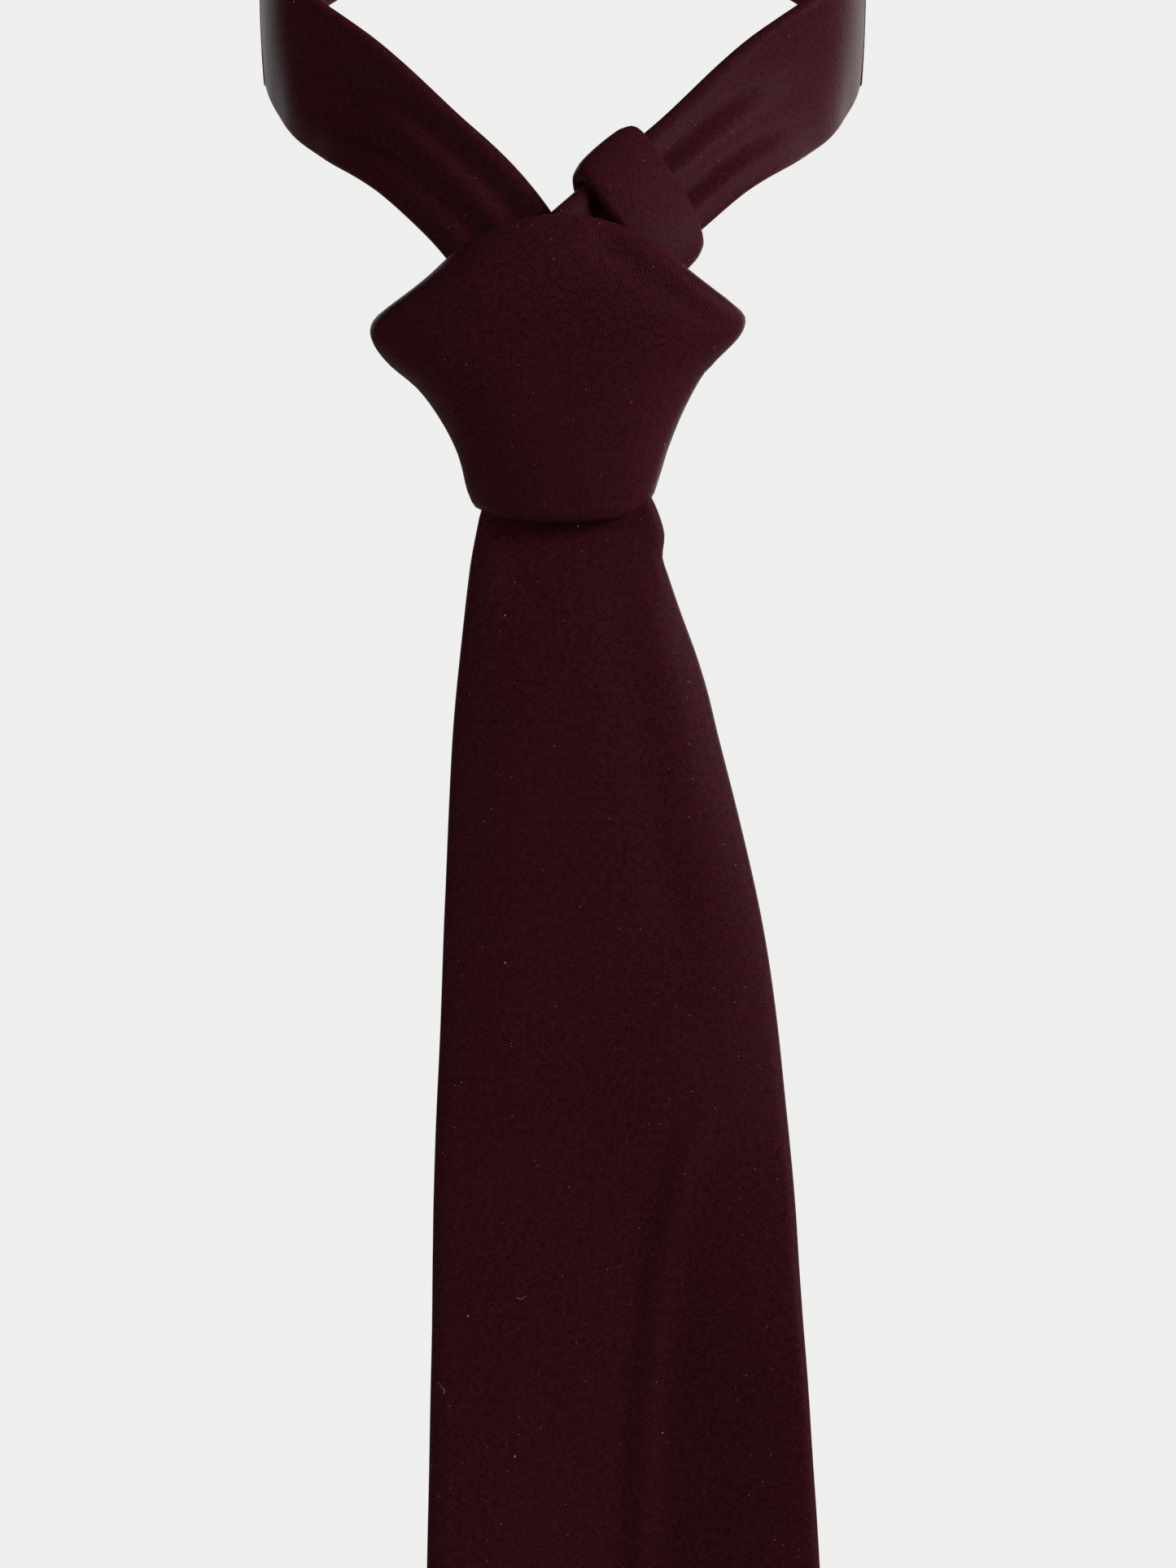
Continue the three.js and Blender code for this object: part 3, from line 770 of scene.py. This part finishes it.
def behind(angle):
    """0 at the front and sides of the knot, 1 at its back."""
    return ease(abs(math.remainder(angle, 2 * math.pi)), 1.75, 2.6)


WRAP_STEPS = 120
WRAP_OVERLAP = 0.3  # as an angle
WRAP_BACK_HEIGHT = 42


def knot_wrap():
    """The turn of folded strap round the knot; its first end is tucked under its last."""
    start, end = WRAP_START - 2 * math.pi, WRAP_START + WRAP_OVERLAP
    rows, weave = [], []
    run, before = 0.0, None
    for i in range(WRAP_STEPS + 1):
        angle = mix(start, end, i / WRAP_STEPS)
        back = behind(angle)
        bottom, top = 1.2 * back, mix(KNOT_HEIGHT, WRAP_BACK_HEIGHT, back)
        tucked = 4.2 * (1 - ease(angle, start + 0.3, start + 0.75))
        wall = mix(WRAP_WALL, 1.3, ease(i, WRAP_STEPS - 7, WRAP_STEPS))
        side = abs(math.sin(angle))
        closing = mix(0.6, 8.0, side**3) * (1 - 0.55 * back)
        section = fold(top - bottom, wall)
        row = []
        for u, v in section:
            height = (bottom + top) / 2 + u
            edge = min(abs(u) / ((top - bottom) / 2), 1)
            height -= LIP_OVERHANG * v * ease(-u / (top - bottom), 0.4, 0.5)
            shut = closing * ease(height, top - 12, top + 3) ** 1.5
            inset = wall / 2 - v + 0.8 * edge**7 + tucked + shut
            point = knot_point(height, angle, inset)
            if v > 0:
                in_front = (1 - back) * (point.y < KNOT_FRONT_LAYERS)
                point.y += knot_creases(point, height) * in_front
            row.append(point)
        middle = row[FACE_MIDDLE]
        run += (middle - before).length if before else 0
        before = middle
        rows.append(row[::-1])
        weave.append([(run, mark) for mark in marks_across(section)][::-1])
    front = run * -start / (end - start)
    weave = [[(u - front, v) for u, v in marks] for marks in weave]
    return Sheet().grid(rows, weave)


def knot_strap(points, first, last, steps, face_at, crown=0.5, amount=0.5):
    """A strap that passes through the knot, with its face turned by a rule.

    The pairs first and last are its width and thickness at its two ends.
    """
    path = Path(points)
    stations = []
    for along in spaced(0, path.length, steps):
        at, tangent = path.at(along)
        face = face_at(tangent)
        face = (face - tangent * face.dot(tangent)).normalized()
        stations.append((at, face.cross(tangent), face, along))

    def section_at(station):
        grown = ease(station[3] / path.length, 0.4, 1)
        width = mix(first[0], last[0], grown)
        section = fold(width, mix(first[1], last[1], grown), crown=crown)
        return [(u, v + gathers(u, width / 2, amount) * (1 if v > 0 else 0.25)) for u, v in section]

    return strap(stations, section_at)


def add_knot_piece(name, sheet, material, rests_on, *nodes):
    """Cloth of the knot that stands for some CAD nodes."""
    piece = make(name, sheet, material)
    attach(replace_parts(piece, *nodes), "knot")


def facing_forward(tangent):
    return FORWARD.copy()


def facing_outward(tangent):
    """Away from the middle of a turn that goes up behind the knot and down in front."""
    return Vector((0, tangent.z, -tangent.y))


def add_knot():
    add_knot_piece(
        "knot_wrap_cloth",
        knot_wrap(),
        knot_twill,
        "knot_center_pass",
        "knot_front_wrap",
        "knot_wrap_interlining",
        "knot_back_band",
    )
    over_top = [
        (0, -60.6, LIP + 30),
        (0, -59.2, KNOT_TOP - 18),
        (0, -57.6, KNOT_TOP - 8),
        (0, -64.3, KNOT_TOP - 2.8),
        (0, -70.4, KNOT_TOP - 8),
        (0, -71.4, KNOT_TOP - 16),
        (0, -70.6, LIP + 30),
        (0.5, -69.4, LIP + 14),
    ]
    size = (24, 3.2)
    center = knot_strap(over_top, size, size, 44, facing_outward, amount=0.55)
    names = "knot_wrap_cloth", "knot_center_pass"
    add_knot_piece("knot_center_cloth", center, strap_twill, *names)
    cross = [(-8, -66.9, KNOT_TOP - 18), (2, -66.9, LIP + 31), (11, -66.7, LIP + 24)]
    size = (18, 2.2)
    first = knot_strap(cross, size, size, 12, facing_forward)
    names = "knot_center_cloth", "knot_first_cross"
    add_knot_piece("knot_first_cross_cloth", first, strap_twill, *names)
    add_side_turn()


SIDE_TURN_WIDTH = 20
SIDE_TURN_THICKNESS = 3.0
SIDE_TURN_LENGTH = 78  # round the tail's leg, with its slant
SIDE_TURN_STEPS = 52
SIDE_TURN_SQUARENESS = 2.5


def add_side_turn():
    """The turn of strap that hugs the tail's leg at the knot's shoulder."""
    middle = HALF_LOOP - 22
    rows, weave = [], []
    section = fold(SIDE_TURN_WIDTH, SIDE_TURN_THICKNESS, crown=0.5)
    marks = marks_across(section)
    for i in range(SIDE_TURN_STEPS + 1):
        angle = mix(-0.5 * math.pi, 1.5 * math.pi, i / SIDE_TURN_STEPS)
        row = []
        for u, v in section:
            slant = 3.5 * math.cos(angle)
            at, across, face, _ = loop_station(middle + slant - u * 0.9)
            half = mix(NECK_WIDTH, ENTRY_WIDTH, turned_to_knot(at.dot(LOOP_BACK))) / 2
            side = half + 2.0 + v - 0.5 * ease(abs(u), 6, 10)
            deep = NECK_THICKNESS / 2 + 2.3 + v
            x = squared(math.cos(angle), SIDE_TURN_SQUARENESS) * side
            y = squared(math.sin(angle), SIDE_TURN_SQUARENESS) * deep
            row.append(at + across * x + face * y)
        rows.append(row[::-1])
        run = i / SIDE_TURN_STEPS * SIDE_TURN_LENGTH
        weave.append([(mark, run) for mark in marks[::-1]])
    cuff = Sheet().grid(rows, weave)
    add_knot_piece("knot_side_cloth", cuff, strap_twill, "tail_leg_cloth", "knot_side_turn")


# ---- front blade and tail ----

# outlines and camber of the blade by depth under the lip
blade_left = smooth(
    [(-14, -14.6), (-2, -15.6), (0, -16.1), (10, -17.9), (34, -20.6), (58, -22.2), (89, -23.5)]
    + [(121, -24.6), (153, -25.4), (205, -26.3), (371, -28.6)]
)
blade_right = smooth(
    [(-14, 15.6), (-5, 17.3), (-2, 18.7), (2.9, 20.2), (7.5, 19.85), (10, 20.6), (18, 23.3)]
    + [(26, 26.2), (34, 28.6), (42, 30.5), (58, 34.6), (74, 38.3), (89, 41.0), (105, 43.0)]
    + [(137, 45.7), (205, 50.3), (371, 60.4)]
)
blade_camber = smooth(
    [(-14, 0.2), (0, 0.6), (10, 1.9), (24, 3.2), (50, 3.4), (100, 2.4), (180, 1.5), (300, 0.9)]
    + [(415, 0.3)]
)

# "top", "sewn_from", "felt_from", "seam_end", "corner" and "tip" are depths under the lip
BLADE = {
    "name": "blade",
    "left": blade_left,
    "right": blade_right,
    "middle": BLADE_MIDDLE,
    "thickness": BLADE_THICKNESS,
    "top": -12,
    "sewn_from": 26,
    "felt_from": 30,
    "seam_end": 300,
    "corner": 371,
    "tip": 415,
    "tip_x": 17,
    "border": 6.2,
    "tack": 8,
    "camber": blade_camber,
}

TAIL_SLANT = 0.0365  # how far the tail goes aside for each millimetre down
TAIL_TOP = FEED_END - 2.5
TAIL_TIP = 315


def tail_x(depth):
    return 2 + TAIL_SLANT * depth


TAIL = {
    "name": "tail",
    "left": lambda depth: tail_x(depth) - 14.2 - 0.0185 * depth,
    "right": lambda depth: tail_x(depth) + 14.2 + 0.0185 * depth,
    "middle": TAIL_MIDDLE,
    "thickness": TAIL_THICKNESS,
    "top": TAIL_TOP,
    "sewn_from": TAIL_TOP + 6,
    "felt_from": TAIL_TOP + 6,
    "seam_end": 255,
    "corner": 295,
    "tip": TAIL_TIP,
    "tip_x": tail_x(TAIL_TIP),
    "border": 4.2,
    "tack": 6,
    "camber": smooth([(0, 0.8), (60, 0.5), (205, 0.25), (315, 0.2)]),
}


def chevron(spec, level):
    """How far a row across the strap has turned into the V of its point."""
    return min(max((level - spec["seam_end"]) / (spec["corner"] - spec["seam_end"]), 0), 1)


def crease_line(depth):
    """Where the long fold of the lower blade lies; it swings in from the right edge."""
    return 13 + 11.6 * math.exp((118 - max(depth, 100)) / 30)


def bell(value, middle, reach):
    return math.exp(-(((value - middle) / reach) ** 2))


def between(depth, begin, full, fade, end):
    """Grows from 0 to 1 between two depths, and goes back to 0 between two others."""
    return ease(depth, begin, full) * (1 - ease(depth, fade, end))


def blade_folds(x, depth, right, s):
    """How far the folds of the front blade stand forward; s is 1 at its right edge."""
    past = x - crease_line(depth)
    ridge = 1.5 * ease(past, -1.5, 2.0) - 0.7 * ease(past, 2.0, 6.5)
    lift = between(depth, 106, 135, 260, 350) * ridge
    edge_forward = 8.6 * between(depth, 110, 175, 270, 365)
    lift += edge_forward * max(past - 5, 0) / (right - crease_line(depth) - 5)
    rolled = ease(depth, 4, 26) * (1 - 0.7 * ease(depth, 60, 125))
    lift -= 2.3 * rolled * ease(s, 0.55, 1.1) ** 2
    valley = 0.55 * between(depth, 6, 20, 70, 100)
    lift -= valley * bell(x, 9 + 0.16 * depth, 5)
    pulled = 0.5 * between(depth, -2, 3, 14, 40)
    lift += pulled * bell(x, -13 - 0.1 * depth, 2.6)
    slanted = 0.28 * between(depth, 4, 10, 16, 28)
    lift -= slanted * bell(0.8 * (x + 14) - 0.58 * (depth - 4), 0, 2.4)
    belly = 1.2 * bell(depth, 118, 17)
    return lift + belly * ease(s, -0.4, 0.4)


def camber(spec, x, depth):
    """How far all layers stand forward of the flat strap."""
    left, right = spec["left"](depth), spec["right"](depth)
    half = (right - left) / 2
    s = min(max((x - (left + right) / 2) / half, -1.2), 1.2)
    lift = spec["camber"](depth) * (1 - abs(s) ** 2.4)
    if spec is BLADE:
        lift += blade_folds(x, depth, right, s)
    return lift


def blade_place(spec, level, u, out):
    """A point by its level, its distance across from the middle and its height over mid plane."""
    turned = chevron(spec, level)
    left, right = spec["left"](level), spec["right"](level)
    middle = mix((left + right) / 2, spec["tip_x"], turned)
    half = (right - left) / 2
    drop = spec["tip"] - spec["corner"]
    depth = level + drop * turned * (1 - min(abs(u) / half, 1))
    x = middle + u
    y = spec["middle"] - out - camber(spec, x, depth)
    return Vector((x, y, LIP - depth))


def blade_width(spec, level):
    return spec["right"](level) - spec["left"](level)


def opening_half(spec, level):
    """Half the width of the V over the tipping, so that both its edges run straight."""
    half = blade_width(spec, level) / 2
    corner, start, border = spec["corner"], spec["seam_end"], spec["border"] + 0.8
    slope = (blade_width(spec, corner) / 2 - border) / (corner - border - start)
    drop = (spec["tip"] - corner) * chevron(spec, level)
    return max(slope * (level - start + drop) / (1 + slope * drop / half), 0)


def blade_section(spec, level):
    opened = ease(level, spec["seam_end"] - 8, spec["seam_end"] + 2)
    spread = opening_half(spec, level)
    ends = mix(-LAP, spread, opened), mix(LAP, -spread, opened)
    return fold(blade_width(spec, level), spec["thickness"], ends=ends)


def blade_levels(spec, count):
    """Levels down a blade, close together near its top, where it may bend."""
    near_top = [spec["top"] + 1.5 * i for i in range(24)]
    return near_top + spaced(near_top[-1], spec["corner"] - 1.6, count)[1:]


HEM_STEPS = 7


def blade_cloth(spec, count):
    """Shell cloth of a blade: face, folded edges, flaps, and the hem round its point."""
    levels = blade_levels(spec, count)
    rows, weave = [], []
    for level in levels:
        section = blade_section(spec, level)
        row = [blade_place(spec, level, u, v) for u, v in section]
        rows.append(row)
        marks = marks_across(section)
        weave.append([(mark, p.z) for mark, p in zip(marks, row)])
    sheet = Sheet().grid(rows, weave)
    last = levels[-1]
    radius = spec["thickness"] / 2
    reach = blade_width(spec, last) / 2 - radius
    columns = spaced(reach, -reach, FACE_STEPS)
    hem, hem_weave = [], []
    for k in range(EDGE_STEPS + 1):
        turn = math.pi * k / EDGE_STEPS
        row = []
        for u in columns:
            point = blade_place(spec, last, u, radius * math.cos(turn))
            out = radius * math.sin(turn)
            if abs(u) < 0.02 * reach:
                row.append(point - Vector((0, 0, out * math.sqrt(2))))
                continue
            slanted = point + Vector((math.copysign(out, u), 0, -out)) * math.sqrt(0.5)
            sideways = blade_place(spec, last, u + math.copysign(out, u), radius * math.cos(turn))
            row.append(slanted.lerp(sideways, ease(abs(u) / reach, 0.93, 1.0)))
        hem.append(row)
        hem_weave.append([(u, -last - k) for u in columns])
    for k in range(1, HEM_STEPS + 1):
        level = last - spec["border"] * k / HEM_STEPS
        sunk = LAYER * ease(k, 0, 2)
        row = [blade_place(spec, level, u * (1 - 0.004 * k), sunk - radius) for u in columns]
        hem.append(row)
        hem_weave.append([(u, -last - 8 - k) for u in columns])
    sheet.grid(hem, hem_weave)
    return sheet


LAYER_STEPS = 24


def flat_layer(spec, levels, share, out):
    """A flat layer inside a blade, following its outline at a share of its width."""
    rows, weave = [], []
    for level in levels:
        half = blade_width(spec, level) / 2 - spec["thickness"] / 2
        across = [u * share for u in spaced(half, -half, LAYER_STEPS)]
        rows.append([blade_place(spec, level, u, out) for u in across])
        weave.append([(u, LIP - level) for u in across])
    return Sheet().grid(rows, weave)


def add_linings(spec, body, nodes):
    name, half = spec["name"], spec["thickness"] / 2
    levels = spaced(spec["felt_from"], spec["corner"] - 5, 60)
    felt_sheet = flat_layer(spec, levels, 0.95, half - CLOTH - LINING_GAP)
    piece = make(f"{name}_interlining_felt", felt_sheet, felt, wall=FELT)
    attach(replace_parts(piece, nodes[0]), body)
    levels = spaced(spec["seam_end"] - 14, spec["corner"] - 4, 26)
    lining = flat_layer(spec, levels, 0.97, -half + LAYER + CLOTH + LINING_GAP)
    piece = make(f"{name}_tipping_lining", lining, lining_weave, wall=LINING)
    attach(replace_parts(piece, nodes[1]), body)


def on_back(spec, cover=0.0):
    """The rule for points on the back of a blade, at a height over its flaps and their cover."""

    def place_at(depth, u, lift):
        return blade_place(spec, depth, u, -spec["thickness"] / 2 - lift - cover)

    return place_at


def add_back_sewing(spec, body, nodes):
    name = spec["name"]
    stitches = seam_stitches(on_back(spec), spec["sewn_from"], spec["seam_end"] - 12)
    sew(f"{name}_seam_stitches", stitches, SEAM_THREAD, nodes[0], body)
    bar = tack_line(on_back(spec), spec["seam_end"] - 5, spec["tack"])
    sew(f"{name}_tack_thread", [bar], TACK_THREAD, nodes[1], body)


def bend_at_lip(piece):
    """Bakes the place of a piece of cloth that comes out of the knot into its mesh."""
    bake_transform(piece)


def add_blade():
    cloth = blade_cloth(BLADE, 110)
    piece = make("blade_cloth", cloth, blade_twill)
    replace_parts(piece, "blade_shell")
    bend_at_lip(piece)
    add_linings(BLADE, "front_blade", ["blade_interlining", "blade_tipping"])
    add_back_sewing(BLADE, "front_blade", ["blade_slip_stitch", "blade_bar_tack"])


def shorten_with_tail(piece):
    """Gives a piece its own copy of its mesh."""
    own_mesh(piece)


def add_tail():
    cloth = blade_cloth(TAIL, 70)
    piece = make("tail_cloth", cloth, blade_twill)
    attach(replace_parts(piece, "tail_shell"), "tail")
    add_linings(TAIL, "tail", ["tail_interlining", "tail_tipping"])
    add_back_sewing(TAIL, "tail", ["tail_slip_stitch", "tail_bar_tack"])


def add_tail_feed():
    """The stretch of tail between the knot and the moving part of the tail."""
    rows, weave = [], []
    for depth in spaced(FEED_TOP, FEED_END, 44):
        section = fold(blade_width(TAIL, depth) + 1.0, TAIL_THICKNESS + 1.0)
        rows.append([blade_place(TAIL, depth, u, v) for u, v in section])
        weave.append([(mark, LIP - depth) for mark in marks_across(section)])
    feed = Sheet().grid(rows, weave)
    piece = make("tail_feed_cloth", feed, blade_twill, wall=0.4)
    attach(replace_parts(piece, "tail_upper"), "front_blade")
    shorten_with_tail(piece)
    stitches = seam_stitches(on_back(TAIL, cover=0.5), FEED_TOP + 3, FEED_END - 3)
    piece = sew("tail_feed_stitches", stitches, SEAM_THREAD, None, "front_blade")
    shorten_with_tail(piece)


def add_knot_tail():
    """The stretch of tail inside the knot and just under it."""
    core = [
        (6.5, -64.0, KNOT_TOP - 14),
        (4.6, -62.8, LIP + 30),
        (2.6, -63.2, LIP + 14),
        (2, -63.9, LIP + 1),
        (2.4, -64.2, LIP - 12),
        (2.9, -64.5, LIP - FEED_TOP - 1),
    ]
    end = blade_width(TAIL, FEED_TOP), TAIL_THICKNESS + 0.2
    strip = knot_strap(core, (20, 2.2), end, 40, facing_forward, crown=0.2, amount=0.15)
    piece = make("knot_tail_cloth", strip, blade_twill, wall=0.4)
    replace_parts(piece, "knot_tail_core")
    bend_at_lip(piece)


KEEPER_WIDTH = 14
KEEPER_THICKNESS = 1.2
KEEPER_STEPS = 90
KEEPER_SAMPLES = 500
KEEPER_TACK = 28.4  # from the keeper's middle to each tack
KEEPER_BACK = BLADE_MIDDLE + BLADE_THICKNESS / 2 + 0.75
KEEPER_CROWN = TAIL_MIDDLE + TAIL_THICKNESS / 2 + 1.9
KEEPER_OUTLINE = (
    (31, KEEPER_BACK),
    (26, KEEPER_BACK),
    (23.6, KEEPER_BACK + 0.2),
    (22.3, KEEPER_BACK + 1.6),
    (21.8, KEEPER_CROWN - 2.2),
    (19.5, KEEPER_CROWN - 0.3),
    (12, KEEPER_CROWN + 0.3),
)


def keeper_seat(x):
    """How far forward the keeper's sewn ends go to lie on the cambered blade."""
    lift = camber(BLADE, tail_x(KEEPER_DEPTH) + x, KEEPER_DEPTH)
    return lift * ease(abs(x), 21, 27)


def keeper_stitches(side):
    """Two lines of thread that sew one end of the keeper to the blade."""
    x = side * KEEPER_TACK
    seat = KEEPER_BACK - keeper_seat(x) + 0.75
    lines = []
    for offset in (-1.1, 1.1):
        line = []
        for i in range(27):
            z = LIP - KEEPER_DEPTH + mix(-5.4, 5.4, i / 26)
            lift = 0.32 if i % 3 else -0.25
            aside = x + offset + 0.2 * (-1) ** i
            line.append(Vector((tail_x(KEEPER_DEPTH) + aside, seat + lift, z)))
        lines.append(line)
    return lines


def add_keeper():
    middle = tail_x(KEEPER_DEPTH)
    outline = [(-x, y) for x, y in KEEPER_OUTLINE]
    outline += [(0, KEEPER_CROWN + 0.45)]
    outline += KEEPER_OUTLINE[::-1]
    line = [(middle + x, y - keeper_seat(x), LIP - KEEPER_DEPTH) for x, y in outline]
    path = Path(line, KEEPER_SAMPLES)
    stations = []
    for along in spaced(0, path.length, KEEPER_STEPS):
        at, tangent = path.at(along)
        face = Vector((0, 0, 1)).cross(tangent).normalized()
        stations.append((at, face.cross(tangent), face, along))
    section = fold(KEEPER_WIDTH, KEEPER_THICKNESS, ends=(-2, 2), crown=0.1)
    strip = strap(stations, lambda station: section)
    piece = make("keeper_cloth", strip, strap_twill, wall=0.28, uneven=0.15)
    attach(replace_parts(piece, "keeper_loop"), "front_blade")
    for name, side in (("left", -1), ("right", 1)):
        tack = f"keeper_tack_{name}"
        sew(f"keeper_stitches_{name}", keeper_stitches(side), TACK_THREAD, tack, "front_blade")


LABEL_HALF_WIDTH = 13
LABEL_HALF_HEIGHT = 7.5
LABEL_X = 15.1
LABEL_WALL = 0.35
LABEL_BOW = 0.35  # how far the label's middle stands off the lining


def add_label():
    rows, weave = [], []
    back = BLADE_MIDDLE + BLADE_THICKNESS / 2 - LABEL_WALL
    places = spaced(LABEL_HALF_WIDTH, -LABEL_HALF_WIDTH, 22)
    for depth in spaced(LABEL_DEPTH - LABEL_HALF_HEIGHT, LABEL_DEPTH + LABEL_HALF_HEIGHT, 12):
        row = []
        for u in places:
            x = LABEL_X + u
            bow = LABEL_BOW * math.cos(math.pi * u / LABEL_HALF_WIDTH / 2)
            row.append(Vector((x, back - camber(BLADE, x, depth) + bow, LIP - depth)))
        rows.append(row)
        weave.append([(u, -depth) for u in places])
    tape = Sheet().grid(rows, weave)
    piece = make("care_label_tape", tape, tape_weave, wall=LABEL_WALL, uneven=0.1)
    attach(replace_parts(piece, "care_label"), "front_blade")


# ---- camera, light and floor ----

VIEW_X = 5.16
VIEW_Z = -160.4
VIEW_HEIGHT = 305.9  # of the plane of the blade's face that the picture shows
CAMERA_DISTANCE = 1400
BLADE_FACE = -71

# metres, from here to the end
FLOOR_DROP = 0.11  # from the tie's point to the floor; the point moves half as far
FLOOR_RADIUS = 2.05
PALE = (0.86, 0.86, 0.85, 1)
LIGHTS_AIM = (0, -0.05, -0.2)
LIGHTS = (
    # name, place, size, watts, colour
    ("key", (1.45, -0.7, 0.55), 0.7, 46, (1.0, 0.97, 0.95)),
    ("rim", (1.5, 0.2, 0.3), 0.7, 15, (0.94, 0.86, 1.0)),
    ("fill", (-1.45, -1.1, 0.4), 1.0, 13, (0.86, 0.92, 1.0)),
    ("top", (0.1, -0.2, 1.5), 1.0, 3, (1, 1, 1)),
    ("back_left", (-0.6, 1.7, 0.5), 1.0, 14, (1, 1, 1)),
    ("back_right", (0.8, 1.6, 0.2), 1.0, 14, (1, 1, 1)),
)


def add_camera():
    data = bpy.data.cameras.new("camera")
    data.lens = data.sensor_width * CAMERA_DISTANCE / VIEW_HEIGHT
    camera = bpy.data.objects.new("camera", data)
    bpy.context.scene.collection.objects.link(camera)
    camera.location = Vector((VIEW_X, BLADE_FACE - CAMERA_DISTANCE, VIEW_Z)) * MM
    camera.rotation_euler = (math.pi / 2, 0, 0)
    bpy.context.scene.camera = camera


def add_light(name, place, size, power, color):
    data = bpy.data.lights.new(name, "AREA")
    data.size = size
    data.energy = power
    data.color = color
    light = bpy.data.objects.new(name, data)
    bpy.context.scene.collection.objects.link(light)
    light.location = place
    towards = Vector(LIGHTS_AIM) - Vector(place)
    light.rotation_euler = towards.to_track_quat("-Z", "Y").to_euler()


def add_world():
    """A pale room to look at, which lights the tie only a little."""
    world = bpy.data.worlds.new("pale_room")
    bpy.context.scene.world = world
    world.use_nodes = True
    tree = world.node_tree
    tree.nodes.clear()
    seen = node(tree, "ShaderNodeBackground", {"Color": PALE, "Strength": 1.0})
    lit = node(tree, "ShaderNodeBackground", {"Color": (1.0, 0.98, 0.97, 1), "Strength": 0.12})
    rays = node(tree, "ShaderNodeLightPath")
    inputs = {0: rays.outputs["Is Camera Ray"], 1: lit.outputs[0], 2: seen.outputs[0]}
    both = node(tree, "ShaderNodeMixShader", inputs)
    node(tree, "ShaderNodeOutputWorld", {0: both.outputs[0]})


def add_floor():
    mesh = bpy.data.meshes.new("floor")
    form = bmesh.new()
    bmesh.ops.create_circle(form, cap_ends=True, segments=96, radius=FLOOR_RADIUS)
    form.to_mesh(mesh)
    form.free()
    floor = bpy.data.objects.new("floor", mesh)
    bpy.context.scene.collection.objects.link(floor)
    floor.location = (0, 0, CAD_BOX[0][2] - FLOOR_DROP)
    paint = new_material("floor_paint")
    shader = paint.node_tree.nodes["Principled BSDF"]
    shader.inputs["Base Color"].default_value = (0.10, 0.10, 0.099, 1)
    shader.inputs["Emission Color"].default_value = PALE
    shader.inputs["Emission Strength"].default_value = 0.86
    shader.inputs["Roughness"].default_value = 1.0
    shader.inputs["Specular IOR Level"].default_value = 0.0
    mesh.materials.append(paint)


bpy.context.scene.view_settings.view_transform = "Standard"
add_camera()
for light in LIGHTS:
    add_light(*light)
add_world()
add_floor()
add_neck_loop()
add_neck_stitches()
add_knot()
add_blade()
add_tail()
add_tail_feed()
add_knot_tail()
add_keeper()
add_label()
